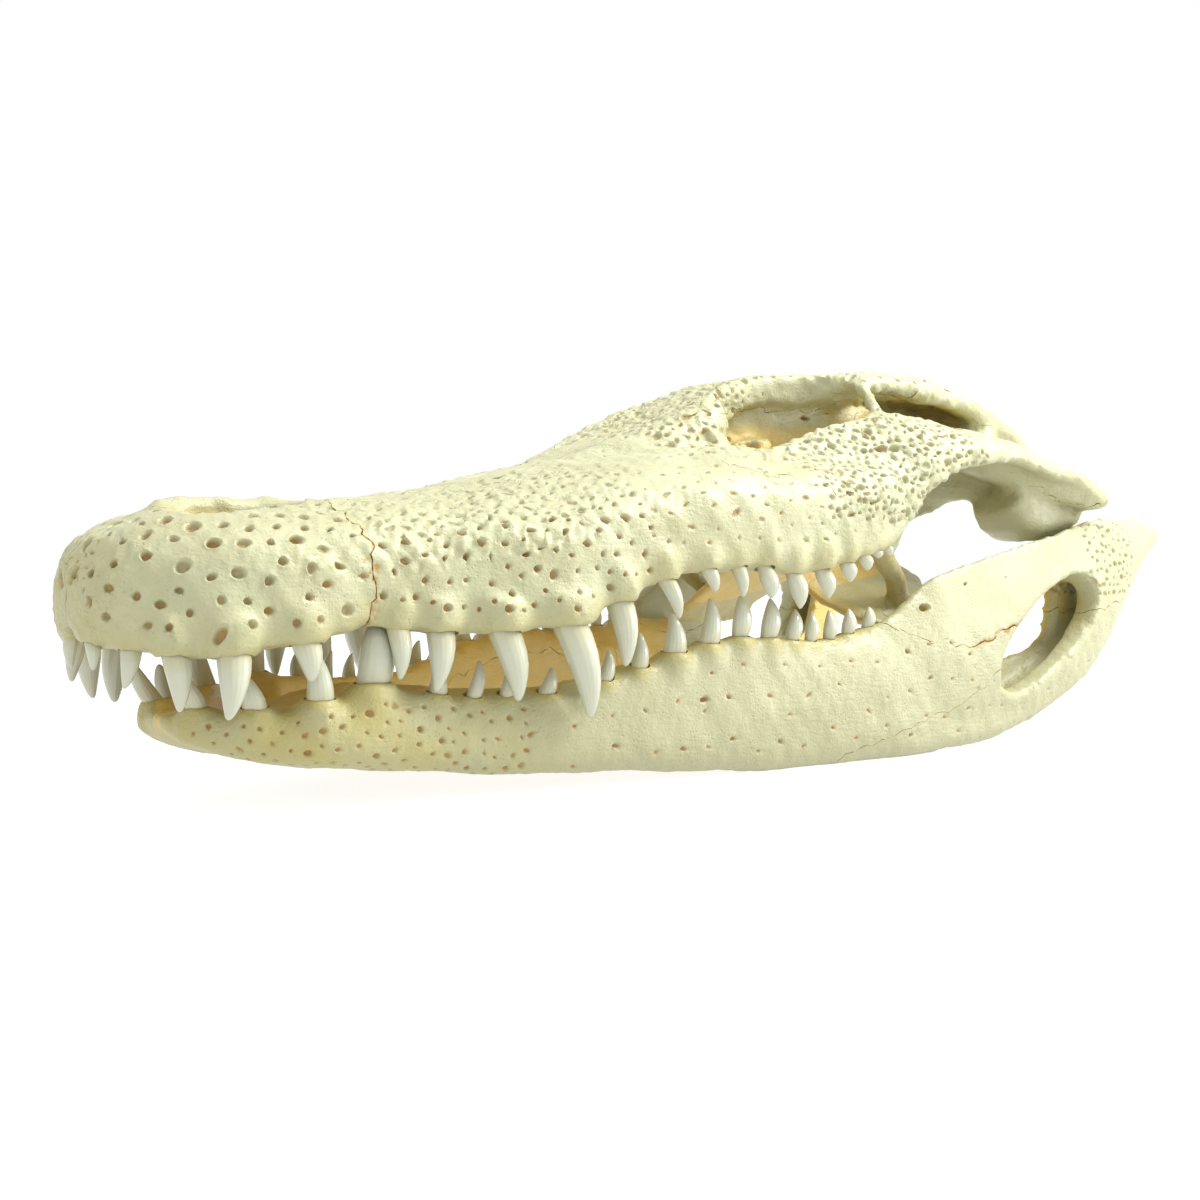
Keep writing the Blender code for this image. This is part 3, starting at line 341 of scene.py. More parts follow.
def set_tooth(name, kind, gum, tip, root, breadth, side):
    """A tooth from its root's end through its gum to its tip, its crown bowed outward."""
    tooth = kept(patterns[kind], name)
    unit = points_of(tooth)
    length = (tip - gum).length
    height = unit[:, 2]
    crown = np.clip(height, 0, 1)
    places = (np.array(gum) + np.outer(np.maximum(height, 0), np.array(tip - gum))
              + np.outer(np.minimum(height, 0) / ROOT_END, np.array(root - gum)))
    places[:, 1] -= side * BOW * length * 4 * crown * (1 - crown)
    places[:, 0] += unit[:, 0] * breadth
    places[:, 1] += unit[:, 1] * breadth * FLATNESS[kind]
    put_points(tooth, places)
    put_value(tooth, "crown", height)
    put_value(tooth, "turn", np.arctan2(unit[:, 1], unit[:, 0]))
    if tip.z < gum.z:
        tooth.data.flip_normals()
    tooth.data.shade_smooth()
    return tooth


teeth = {}
for upper in (True, False):
    row, line, rim = row_of(upper)
    way = -1 if upper else 1
    for number, (s, length, breadth, behind) in enumerate(row, 1):
        great = not upper and number == BLUNT_NUMBER
        kind = "leaf" if s > REAR_TEETH else ("blunt" if great else "long")
        w, h = along(line, s), along(rim, s)
        back, inward, deep = root_of(length, behind, upper)
        for side, letter in ((1, "L"), (-1, "R")):
            gum = place(s, w * side, h)
            tip = place(s + behind, w * side, h + way * length)
            root = place(s + back, (w + inward) * side, h + deep)
            name = f"tooth_{'upper' if upper else 'lower'}_{number:02d}_{letter}"
            teeth[name] = set_tooth(name, kind, gum, tip, root, breadth * UNIT, side)
for pattern in patterns.values():
    bpy.data.objects.remove(pattern)
print(len(teeth), "teeth")

# %% [markdown]
# ## The masses of the skull
# A skull is one tangle of arches, plates and struts. Modelled bone by bone, none of them would meet
# well, so a sculptor builds the whole head first and parts it along its sutures later. Each mass is
# a skin lofted through cross-sections, and the curves below say how wide and how high the head is.

# %% Curves of the skull
# The snout and face, at each s: half the breadth, height of the crest, and height of the palate.
FACE_WIDTH = ((-1.3, 1.6), (-0.7, 4.0), (1, 6.9), (3.5, 9.1), (7, 11.0), (12, 12.1), (16.6, 12.1),
              (20, 12.7), (24, 13.8), (28.5, 15.7), (33, 17.0), (38, 17.4), (43, 18.0),
              (50, 19.3), (58, 20.0), (66, 20.5), (71, 20.7))
FACE_TOP = ((-1.3, 17.0), (-0.7, 18.5), (1, 20.0), (3.5, 21.1), (8, 21.9), (15, 22.4), (20, 22.8),
            (30, 24.2), (38, 26.1), (44, 27.5), (50, 28.8), (56, 29.5), (62, 29.6), (70, 31.0))
PALATE = ((-1.3, 13.6), (3, 13.0), (10, 13.0), (18, 13.5), (30, 13.8), (40, 16.0), (50, 17.6),
          (60, 18.6), (70, 19.8))
FACE_POWER = ((-1.3, 2.1), (6.6, 2.5), (20, 2.5), (23, 2.3))    # how square its cross-section is
# The brow, at each s: half the breadth, height, depth, and how much broader its foot is.
BROW_WIDTH = ((40, 2.6), (44, 4.6), (50, 6.8), (55, 8.0), (58.5, 8.2), (60.5, 7.0), (63, 5.0),
              (67, 4.2), (71, 4.4), (74, 6.0), (78, 9.5))
BROW_TOP = ((40, 25.6), (44, 27.8), (50, 30.4), (54, 31.9), (58, 33.7), (62, 35.6), (66, 37.0),
            (71, 37.9), (78, 38.1))
BROW_DEPTH = ((40, 3), (50, 6), (57, 8), (61, 7), (64, 3.6), (78, 3.2))
BROW_FLARE = ((40, 2.2), (52, 1.5), (57, 1.3), (60, 1.04), (78, 1.0))
# The skull table: s, half the breadth, height of its middle and of its edge, and thickness.
TABLE = ((74.6, 6.5, 38.0, 37.7, 2.4), (76.2, 11.2, 38.0, 37.0, 1.9), (80, 12.1, 38.2, 37.6, 1.9),
         (86, 12.3, 38.3, 37.7, 1.9), (91, 12.6, 38.2, 37.3, 2.2), (95, 12.9, 37.6, 36.2, 2.7),
         (97.0, 12.6, 36.8, 35.2, 2.7))
# The wall of the cheek: s, w and h of its top, w and h of its foot, half its thickness, bulge.
CHEEK = ((55.5, 15.5, 25.2, 19.2, 19.2, 1.2, 0.5), (59, 13.4, 28.6, 19.3, 19.0, 1.2, 0.8),
         (63, 12.8, 29.6, 19.6, 19.2, 1.2, 1.1), (67, 13.2, 30.9, 19.8, 19.6, 1.2, 1.2),
         (70.5, 14.1, 32.0, 19.9, 20.2, 1.2, 1.2), (73, 14.8, 32.8, 20.0, 22.2, 1.2, 1.0),
         (76, 15.5, 33.0, 20.2, 25.2, 1.2, 0.9), (80, 16.6, 32.4, 20.5, 27.0, 1.1, 0.7),
         (86, 18.4, 30.9, 20.8, 28.2, 1.1, 0.5), (90, 19.3, 30.0, 21.1, 28.2, 1.1, 0.4),
         (94, 20.0, 29.3, 21.4, 27.2, 1.1, 0.4), (100, 21.0, 28.2, 22.2, 25.9, 1.1, 0.4),
         (105.0, 21.6, 26.3, 22.6, 24.0, 1.1, 0.3))
print("face is", round(2 * along(FACE_WIDTH, 30) * UNIT * 1000), "mm wide at the long teeth")

# %% [markdown]
# Three helpers make every mass. A loft joins rings of points into a closed skin, a bar sets such
# rings round a bent line, and a wall stands them upright.

# %% Lofts, bars and walls


def round_power(value, power):
    """A signed power, which squares off or sharpens a circle's cosine and sine."""
    return math.copysign(abs(value) ** (2 / power), value)


def loft(shape, rings):
    """Add a closed skin through rings of points."""
    loops = [[shape.verts.new(point) for point in ring] for ring in rings]
    faces = [shape.faces.new(list(reversed(loops[0]))), shape.faces.new(loops[-1])]
    for loop, after in zip(loops, loops[1:]):
        for i, vert in enumerate(loop):
            j = (i + 1) % len(loop)
            faces.append(shape.faces.new((vert, loop[j], after[j], after[i])))
    bmesh.ops.recalc_face_normals(shape, faces=faces)


def symmetric_ring(s, half):
    """A ring across the skull at s, from its left half: (w, h) from the top's middle down."""
    left = [place(s, w, h) for w, h in half]
    return left + [place(s, -w, h) for w, h in reversed(half[1:-1])]


def bar(shape, stations, paired=True, power=2.2, corners=16):
    """Add a bar along its stations (s, w, h, half its breadth, half its depth, lean in degrees)."""
    for side in (1, -1) if paired else (1,):
        centres = [place(s, w * side, h) for s, w, h, *_ in stations]
        rings = []
        for i, (_, _, _, breadth, depth, lean) in enumerate(stations):
            before, after = centres[max(i - 1, 0)], centres[min(i + 1, len(centres) - 1)]
            run = (after - before).normalized()
            pole = Vector((0, 0, 1)) if abs(run.z) < 0.8 else Vector((0, -side, 0))
            out = run.cross(pole).normalized() * side
            rise = run.cross(out).normalized()
            if rise.dot(pole) < 0:
                rise = -rise
            turn = math.radians(lean)
            wide = out * math.cos(turn) + rise * math.sin(turn)
            tall = rise * math.cos(turn) - out * math.sin(turn)
            angles = [2 * math.pi * k / corners for k in range(corners)]
            rings.append([centres[i] + wide * round_power(math.cos(a), power) * breadth * UNIT
                          + tall * round_power(math.sin(a), power) * depth * UNIT for a in angles])
        loft(shape, rings)


def wall(shape, stations):
    """Add an upright wall on each side: stations (s, w and h of its top, w and h of its foot, half
    its thickness, how far its outer face bulges)."""
    for side in (1, -1):
        rings = []
        for s, top_w, top_h, foot_w, foot_h, half, bulge in stations:
            outer = [(top_w + (foot_w - top_w) * t + half * math.sin(math.pi * (0.15 + 0.7 * t))
                      + bulge * math.sin(math.pi * t), top_h + (foot_h - top_h) * t)
                     for t in (0, 0.2, 0.4, 0.6, 0.8, 1)]
            inner = [(top_w + (foot_w - top_w) * t - half, top_h + (foot_h - top_h) * t)
                     for t in (0.95, 0.7, 0.35, 0.05)]
            rings.append([place(s, w * side, h) for w, h in outer + inner])
        loft(shape, rings)


print("half a circle's height, squared off by a power of 4:", round(round_power(0.5, 4), 2))

# %% [markdown]
# The snout is an arched roof over bulging walls, the brow a flat ridge, and the table a plate. Each
# gets its own cross-section, which the curves above stretch to the right size at every place.

# %% Cross-sections of the skull
WAIST = 0.36                  # height of the face's widest place, from gum to crest
SHOULDER = 0.6                # where the wall curls in to the gum, from tooth line to side
LEDGE = 2.0                   # breadth of the ledge inside the teeth, in units


def face_ring(s):
    """Cross-section of the snout and face: an arched roof over bulging walls and the palate."""
    crest, width = along(FACE_TOP, s), along(FACE_WIDTH, s)
    line, rim = along(TOOTH_LINE, s), along(ALVEOLAR, s)
    waist = rim + WAIST * (crest - rim)
    power = along(FACE_POWER, s)
    half = [(0, crest)]
    for a in spaced(90, 0, 13)[1:]:
        half.append((width * round_power(math.cos(math.radians(a)), power),
                     waist + (crest - waist) * round_power(math.sin(math.radians(a)), power)))
    shoulder = line + SHOULDER * (width - line)
    for a in spaced(16, 80, 5):
        half.append((shoulder + (width - shoulder) * math.cos(math.radians(a)),
                     waist - (waist - rim) * math.sin(math.radians(a))))
    ledge = max(line - LEDGE, line / 2)
    half += [(line, rim), (ledge, rim - 0.3), (ledge * 0.8, along(PALATE, s)),
             (0, along(PALATE, s))]
    return symmetric_ring(s, half)


def brow_ring(s):
    """Cross-section of the raised brow, which runs back between the orbits to the skull table."""
    width, crest, depth = along(BROW_WIDTH, s), along(BROW_TOP, s), along(BROW_DEPTH, s)
    flare = along(BROW_FLARE, s)
    half = [(0, crest - 0.5), (width * 0.45, crest - 0.3), (width * 0.8, crest),
            (width * 0.97, crest - 0.6), (width * (0.8 + 0.2 * flare), crest - 1.5),
            (width * flare, crest - depth), (0, crest - depth)]
    return symmetric_ring(s, half)


def table_ring(s, width, middle, edge, depth):
    """Cross-section of the flat skull table."""
    half = [(0, middle), (width * 0.5, middle - 0.1), (width * 0.9, edge + 0.25), (width, edge - 0.7),
            (width * 0.97, edge - depth), (width * 0.6, middle - depth), (0, middle - depth)]
    return symmetric_ring(s, half)


print("corners of the rings:", len(face_ring(30)), len(brow_ring(60)), len(table_ring(*TABLE[0])))

# %% [markdown]
# The sockets' rims stand out of the jaw's edge as a row of scallops, one round each tooth. They are
# short cones set over each root, and they melt into the jaw when the masses are fused.

# %% Collars of the sockets
COLLAR = 0.62                 # half a collar's breadth, in breadths of its tooth
COLLAR_SPARE = 0.12           # what is added to it, in units
COLLAR_RINGS = ((-2.4, 1.05), (-0.7, 1.15), (0.15, 1.0), (0.42, 0.86))      # height, share of half


def collars(shape, upper):
    """Add a short swelling round the root of each tooth of a row."""
    row, line, rim = row_of(upper)
    way = -1 if upper else 1
    for s, _, breadth, _ in row:
        w, h = along(line, s), along(rim, s)
        half = COLLAR * breadth + COLLAR_SPARE
        bar(shape, [(s, w, h + way * rise, half * share, half * share, 0)
                    for rise, share in COLLAR_RINGS], power=2)


# %% Masses of the skull
FACE_PLACES = (-1.3, -1.0, -0.6, 0, 1, 2.2, 4, 6, 8, 10, 13, 16, 18, 20, 23, *range(26, 69, 3), 70)
BROW_PLACES = (40, 43, 46, 49, 52, 55, 57, 59, 61, 63, 65, 67, 70, 73, 76, 78)


def skull_masses():
    """The masses of the upper skull, as one loose heap of closed skins."""
    shape = bmesh.new()
    loft(shape, [face_ring(s) for s in FACE_PLACES])
    loft(shape, [brow_ring(s) for s in BROW_PLACES])
    loft(shape, [table_ring(*station) for station in TABLE])
    wall(shape, CHEEK)
    collars(shape, True)
    # The bony bar between the nostrils.
    bar(shape, ((4.6, 0, 20.9, 1.2, 0.8, 0), (5.6, 0, 21.7, 1.0, 0.9, 0), (10, 0, 21.9, 0.75, 0.8, 0),
                (15, 0, 22.2, 0.8, 0.8, 0), (17, 0, 22.0, 1.4, 0.7, 0)), paired=False)
    # The shelf that carries the rear teeth, inside the cheek.
    bar(shape, ((56, 17.6, 19.6, 2.2, 2.0, 0), (62, 18.1, 20.0, 2.0, 1.9, 0),
                (67, 18.6, 20.9, 1.7, 1.7, 0), (71, 18.9, 21.6, 1.4, 1.4, 0)))
    # The bar behind the orbit, from the table's corner down to the cheek.
    bar(shape, ((76.6, 10.4, 36.6, 1.3, 1.1, 0), (75.4, 11.9, 35.9, 0.9, 0.8, 0),
                (74.9, 12.9, 34.5, 0.7, 0.7, 0), (74.5, 14.0, 33.0, 0.8, 0.8, 0),
                (74.2, 15.2, 31.6, 1.1, 1.1, 0)), power=2)
    # The table's rear corners, over the ears.
    bar(shape, ((84, 10.9, 36.3, 1.3, 0.9, 0), (90, 11.7, 35.8, 1.2, 1.0, 0),
                (96, 12.6, 34.6, 1.2, 1.2, 0), (100.4, 13.3, 32.5, 0.9, 1.1, 0),
                (103.2, 14.0, 30.8, 0.8, 1.1, 0)))
    # The wall between the two orbits, and the braincase behind it.
    bar(shape, ((56, 0, 27.0, 2.6, 3.5, 0), (60, 0, 29.5, 2.2, 4.4, 0), (64, 0, 31.0, 2.0, 4.6, 0),
                (70, 0, 32.0, 2.2, 5.0, 0), (76, 0, 31.5, 3.4, 5.4, 0), (82, 0, 30.5, 4.6, 6.0, 0),
                (88, 0, 30.0, 5.4, 6.3, 0), (95, 0, 30.0, 6.0, 5.6, 0)), paired=False, power=3)
    bar(shape, ((96, 14.2, 31.2, 1.4, 1.6, 0), (95.6, 9, 31.4, 1.9, 2.5, 0),
                (95.2, 4.5, 30.5, 2.3, 4.6, 0), (95, 0, 30, 2.5, 5.6, 0)), power=2.6)
    bar(shape, ((95, 0, 26.6, 3.4, 2.3, 0), (99.5, 0, 26.3, 2.1, 2.0, 0),
                (101.3, 0, 26.1, 1.9, 1.8, 0), (102.1, 0, 26.0, 0.9, 0.9, 0)), paired=False, power=2)
    bar(shape, ((95, 0, 27, 4.2, 2.4, 0), (94.6, 0, 23, 4.0, 1.9, 0), (93.6, 0, 19.6, 3.2, 1.3, 0)),
        paired=False, power=2.6)
    bar(shape, ((86, 0, 27, 3.4, 5.5, 0), (89, 0, 23, 3.0, 3.6, 0), (88, 0, 19, 3.0, 3.4, 0)),
        paired=False, power=2.6)
    # The quadrate, from under the table out and down to the jaw joint.
    bar(shape, ((84.5, 7.5, 32.0, 3.4, 1.6, -20), (89, 10.3, 31.3, 4.2, 1.9, -20),
                (94, 13.3, 29.9, 4.8, 2.0, -24), (99, 16.3, 27.9, 4.8, 1.9, -20),
                (102.5, 18.3, 26.2, 4.4, 1.8, -10), (104.6, 18.8, 25.1, 4.3, 1.6, -4),
                (106.2, 19.0, 24.8, 3.2, 0.8, -4)), power=2.6)
    bar(shape, ((87, 5.6, 27.2, 1.0, 2.6, 0), (93, 9.6, 27.2, 1.2, 2.3, 0),
                (98.5, 13.2, 26.4, 1.6, 1.9, 0), (103, 15.9, 25.5, 1.8, 1.5, 0)))
    # The roller of the jaw joint, under the quadrate's rear end.
    bar(shape, ((95.0, 15.2, 25.0, 3.2, 1.8, 0), (96.6, 15.4, 23.8, 3.6, 2.8, 0),
                (98.4, 15.5, 23.1, 3.7, 3.0, 0), (101, 15.6, 23.4, 3.7, 3.0, 0),
                (104.5, 15.8, 23.6, 3.7, 2.8, 0), (106.4, 15.8, 23.8, 3.1, 1.8, 0)), power=2.6)
    # The plate that closes the gap between quadrate and cheek bar.
    bar(shape, ((87, 15.6, 31.4, 2.2, 0.9, -25), (93, 17.4, 30.0, 2.6, 1.0, -30),
                (99, 19.4, 27.9, 2.4, 1.1, -34), (104, 20.6, 25.4, 2.0, 1.1, -34)))
    # The wing that ties the quadrate to the pterygoid.
    bar(shape, ((86, 3.0, 22.0, 2.2, 2.6, 0), (90, 6.0, 25.0, 0.9, 2.8, 0),
                (95, 10.2, 27.6, 0.8, 2.4, 0)))
    # Palate behind the snout: a middle bar, the two wings and their struts.
    bar(shape, ((44, 0, 18.4, 4.2, 1.6, 0), (52, 0, 19.2, 3.4, 1.7, 0), (60, 0, 19.9, 3.2, 1.7, 0),
                (67, 0, 20.0, 3.6, 1.6, 0), (73, 0, 19.6, 4.6, 1.4, 0), (80, 0, 18.8, 5.0, 1.6, 0)),
        paired=False, power=3)
    bar(shape, ((80.5, -0.5, 18.8, 10.5, 1.3, 0), (80.6, 4, 18.2, 9.8, 1.1, 0),
                (80.0, 8, 16.2, 8.8, 0.9, 0), (79.0, 10.8, 13.9, 7.6, 0.9, 0),
                (78.9, 12.6, 12.2, 6.6, 1.1, 0), (79.2, 13.2, 11.4, 4.8, 0.6, 0)), power=2.4)
    bar(shape, ((66, 17.6, 21.2, 1.2, 1.1, 0), (71, 16.6, 20.6, 1.3, 1.0, 0),
                (76, 14.6, 17.6, 1.2, 1.0, 0), (80, 13.3, 14.4, 1.1, 0.9, 0),
                (83, 12.8, 12.6, 0.8, 0.7, 0)))
    return shape


skull_heap = skull_masses()
print("masses of the skull:", len(skull_heap.verts), "points")

# %% [markdown]
# ## What is hollow
# Nostrils, orbits, the round windows of the skull table and the pits that take the long lower teeth
# are cut out of the fused mass afterwards. Each cutter is one more lofted bar.

# %% Hollows of the skull


def skull_hollows():
    """What is cut out of the upper skull: nostrils, orbits, openings of the table and the palate."""
    shape = bmesh.new()
    # The nostrils, with the bony bar of the nasals left standing between them.
    bar(shape, ((10.5, 2.7, 17.4, 2.6, 1.3, 0), (10.5, 2.9, 19.0, 4.2, 2.1, 0),
                (10.5, 3.1, 21.6, 5.0, 2.45, 0), (10.6, 3.1, 24, 5.6, 2.5, 0)))
    # The orbits: oval windows in the roof, over the hollow of the face.
    bar(shape, ((67.2, 8.4, 25, 6.6, 3.2, 0), (67.0, 8.3, 29.0, 7.8, 3.5, 0),
                (67.0, 8.4, 33, 8.1, 4.1, 0), (67.2, 8.3, 42, 8.5, 4.3, 0)), power=2.7)
    bar(shape, ((58.6, 9.5, 24.5, 1.6, 2.0, 0), (60, 9.8, 24.4, 3.6, 3.0, 0),
                (63, 9.8, 24.6, 4.0, 3.6, 0), (67, 10.1, 24.8, 4.4, 3.8, 0),
                (71, 10.4, 25.2, 4.8, 4.0, 0)), power=2.6)
    bar(shape, ((57.2, 8.2, 10, 9.6, 3.7, 0), (57.2, 8.2, 18, 9.8, 3.7, 0),
                (58.5, 8.3, 21, 8.6, 3.9, 0), (60.5, 8.8, 25, 5.0, 3.6, 0)), power=2.2)
    # The two round openings of the skull table.
    bar(shape, ((86.6, 5.9, 33.0, 2.3, 1.7, 0), (86.6, 5.9, 36.5, 2.6, 1.9, 0),
                (86.6, 5.9, 42, 3.0, 2.3, 0)), power=2)
    # Pits of the palate: one for each long lower tooth, one in front, and the inner nostrils.
    bar(shape, ((18.3, 9.6, 10, 2.1, 2.0, 0), (18.3, 9.5, 14.2, 1.9, 1.8, 0),
                (18.3, 9.3, 16.0, 1.1, 1.1, 0)), power=2)
    bar(shape, ((6.2, 0, 10, 1.8, 1.3, 0), (6.2, 0, 14.6, 1.8, 1.3, 0), (6.2, 0, 16.2, 1.0, 0.8, 0)),
        paired=False, power=2)
    bar(shape, ((87.6, 0, 14.0, 1.9, 1.5, 0), (87.2, 0, 18.6, 1.9, 1.5, 0),
                (86.6, 0, 20.4, 1.2, 1.0, 0)), paired=False, power=2)
    # The opening for the spinal cord, over the knob of the neck joint.
    bar(shape, ((88, 0, 30.0, 1.6, 1.2, 0), (94, 0, 30.1, 2.0, 1.5, 0), (100, 0, 30.3, 2.3, 1.8, 0)),
        paired=False, power=2)
    # The window through the wall between the orbits.
    bar(shape, ((64, -4, 28.3, 1.9, 1.2, 0), (64, 4, 28.3, 1.9, 1.2, 0)), paired=False, power=2)
    return shape


skull_cutters = skull_hollows()
print("cutters of the skull:", len(skull_cutters.verts), "points")

# %% [markdown]
# ## The lower jaw
# Each half of the lower jaw is a long beam that carries the teeth, then a tall hollow box with a
# window in its outer wall, then the joint and a lever for the muscle that opens the mouth.

# %% Masses of the jaw
# One beam, at each s: w of its outer and inner face, how far the inner edge rises, h of the foot.
JAW_OUTER = ((5.2, 2.0), (5.7, 3.4), (7, 5.8), (9.4, 8.4), (13, 10.8), (17, 11.7), (22, 12.1),
             (28, 13.1), (33, 14.4), (40, 16.0), (48, 17.5), (55, 18.7), (62, 19.8), (70, 21.0),
             (77, 21.4))
JAW_INNER = ((13, -0.6), (16.2, 0.4), (18, 3.2), (22, 6.6), (28, 9.0), (33, 10.5), (40, 12.3),
             (48, 13.8), (55, 14.9), (62, 15.4), (70, 15.7), (77, 16.0))
JAW_INNER_RISE = ((16, 0), (20, 0.9), (26, 1.8), (35, 1.9), (42, 1.3), (49, 0.6), (58, 0.2), (70, 0))
JAW_FOOT = ((5.2, 5.4), (6.5, 4.2), (9, 3.1), (13, 2.3), (17, 1.8), (23, 1.2), (33, 0.4), (42, -0.1),
            (49, -0.6), (55, -1.05), (62, -1.15), (77, -1.2))
# The wall behind the teeth: s, w and h of its top, w and h of its foot, half its thickness, bulge.
JAW_CHEEK = ((65, 18.2, 10.2, 18.6, 0.6, 1.0, 0.3), (71, 19.2, 13.4, 19.5, 0.1, 1.0, 0.7),
             (76, 19.8, 16.6, 20.0, -0.1, 1.0, 0.9), (82, 20.2, 18.1, 20.4, 0.1, 1.0, 1.0),
             (90, 20.4, 19.7, 20.7, 1.0, 1.0, 1.1), (97, 20.6, 21.2, 21.0, 2.8, 1.0, 1.1),
             (103, 20.9, 22.6, 21.1, 5.2, 1.1, 1.0), (107.5, 20.8, 23.2, 20.9, 8.2, 1.2, 0.8),
             (112, 20.5, 23.4, 20.7, 12.8, 1.2, 0.6), (114, 20.4, 22.9, 20.6, 14.8, 1.1, 0.6),
             (116.6, 20.3, 23.3, 20.4, 17.4, 1.0, 0.5),
             (119.4, 20.3, 23.0, 20.4, 19.6, 0.8, 0.3),
             (121.2, 20.3, 21.9, 20.4, 20.8, 0.5, 0.2))
BEAM_PLACES = (5.2, 5.6, 6.3, 7.5, 9, 11, 13, 14.5, 16, 17, 18, 20, 22, *range(25, 78, 4))
BEAM_CORNERS = 24
BEAM_POWERS = (3.0, 3.4)      # how square the beam is across, and up and down
TUCK = 0.16                   # how far its outer face leans in at the rim, in half breadths


def ramus_ring(s, side):
    """Cross-section of one half of the lower jaw: tall, with a full outer face and a flat foot."""
    outer, inner = along(JAW_OUTER, s), along(JAW_INNER, s)
    foot, rim = along(JAW_FOOT, s), along(JAW_RIM, s)
    middle, half = (outer + inner) / 2, (outer - inner) / 2
    points = []
    for k in range(BEAM_CORNERS):
        a = 2 * math.pi * k / BEAM_CORNERS
        across = round_power(math.cos(a), BEAM_POWERS[0])
        rise = round_power(math.sin(a), BEAM_POWERS[1])
        tuck = TUCK * half * max(rise, 0) if across > 0 else 0
        lift = along(JAW_INNER_RISE, s) * max(rise, 0) * max(-across, 0)
        points.append(place(s, side * (middle + across * half - tuck),
                            (foot + rim) / 2 + rise * (rim - foot) / 2 + lift))
    return points


def jaw_masses():
    """The masses of the lower jaw."""
    shape = bmesh.new()
    for side in (1, -1):
        loft(shape, [ramus_ring(s, side) for s in BEAM_PLACES])
    collars(shape, False)
    wall(shape, JAW_CHEEK)
    # The floor of the trough behind the teeth, and its low inner wall.
    bar(shape, ((70, 18.2, 0.9, 2.6, 1.8, 0), (80, 18.9, 1.0, 2.5, 1.8, 0), (86, 19.1, 1.4, 2.4, 1.8, 0),
                (92, 19.3, 2.7, 2.3, 1.8, 0), (98, 19.5, 4.8, 2.2, 1.9, 0), (104, 19.6, 7.6, 2.0, 1.9, 0),
                (109, 19.6, 11.6, 1.8, 2.0, 0)), power=3)
    wall(shape, ((64, 16.0, 9.4, 16.4, 1.2, 0.8, 0), (74, 16.1, 8.0, 16.9, 0.9, 0.6, 0),
                 (84, 16.5, 7.2, 17.1, 1.1, 0.6, 0), (93, 16.7, 7.8, 17.5, 2.6, 0.6, 0),
                 (99, 16.8, 8.6, 17.8, 5.0, 0.7, 0), (101.6, 16.8, 10.0, 17.8, 6.6, 0.8, 0),
                 (103.4, 16.9, 16.4, 17.8, 7.8, 0.8, 0), (108, 17.4, 18.4, 17.9, 10.4, 0.9, 0)))
    # The joint block under the quadrate, and the lever behind it.
    bar(shape, ((99.0, 17.2, 17.4, 3.2, 1.6, 0), (102.5, 17.4, 17.8, 3.8, 2.0, 0),
                (106.5, 17.6, 18.3, 3.8, 2.1, 0), (109.8, 18.6, 20.2, 2.8, 2.9, 0),
                (114, 19.9, 20.3, 2.0, 2.5, 0), (118, 20.3, 21.0, 1.4, 1.6, 0),
                (121, 20.5, 21.4, 0.8, 0.7, 0)), power=2.6)
    return shape


jaw_heap = jaw_masses()
print("masses of the jaw:", len(jaw_heap.verts), "points")

# %% Hollows of the jaw


def jaw_hollows():
    """What is cut out of the lower jaw: the window in each outer wall."""
    shape = bmesh.new()
    bar(shape, ((94.2, 18.8, 10.5, 9.8, 3.6, -29), (94.2, 21.0, 10.5, 10.1, 3.8, -29),
                (94.2, 25.0, 10.5, 10.5, 4.2, -29)), power=2.2)
    return shape


jaw_cutters = jaw_hollows()
print("cutters of the jaw:", len(jaw_cutters.verts), "points")

# %% [markdown]
# ## Fusing
# A voxel remesh puts one new skin of even squares round a whole heap of masses, which a Boolean
# union of dozens of overlapping skins could not do cleanly. A few rounds of smoothing melt the
# creases where masses meet, as bone does, and one subdivision then rounds off the squares.

# %% Modifiers as tools


def make_object(name, shape):
    """An object in the scene with this shape as its mesh."""
    mesh = bpy.data.meshes.new(name)
    shape.to_mesh(mesh)
    shape.free()
    thing = bpy.data.objects.new(name, mesh)
    bpy.context.scene.collection.objects.link(thing)
    return thing


def finished(thing, kind, **settings):
    """Give an object a modifier with these settings and apply it."""
    step = thing.modifiers.new(kind.lower(), kind)
    for key, value in settings.items():
        setattr(step, key, value)
    with bpy.context.temp_override(object=thing, active_object=thing, selected_objects=[thing]):
        bpy.ops.object.modifier_apply(modifier=step.name)
    return thing


def cut(thing, tool, operation="DIFFERENCE"):
    """Cut an object by a tool, or down to what lies inside it."""
    return finished(thing, "BOOLEAN", operation=operation, object=tool, solver="MANIFOLD")


def keep_largest(thing):
    """Drop the crumbs that a cut leaves beside its bone."""
    ends = np.empty(len(thing.data.edges) * 2, np.int32)
    thing.data.edges.foreach_get("vertices", ends)
    ends = ends.reshape(-1, 2)
    body = np.arange(len(thing.data.vertices))
    while True:
        least = np.minimum(body[ends[:, 0]], body[ends[:, 1]])
        after = body.copy()
        np.minimum.at(after, ends[:, 0], least)
        np.minimum.at(after, ends[:, 1], least)
        after = after[after]
        if (after == body).all():
            break
        body = after
    parts, counts = np.unique(body, return_counts=True)
    if len(parts) > 1:
        crumbs = set(np.flatnonzero(body != parts[counts.argmax()]).tolist())
        shape = bmesh.new()
        shape.from_mesh(thing.data)
        shape.verts.ensure_lookup_table()
        bmesh.ops.delete(shape, geom=[shape.verts[i] for i in crumbs], context="VERTS")
        shape.to_mesh(thing.data)
        shape.free()
    return thing


# %% Fuse the masses
GRAIN = 0.0015 if FINE else 0.0020      # size of the squares of the fused skin
EASE = 6 if FINE else 4                 # rounds of smoothing


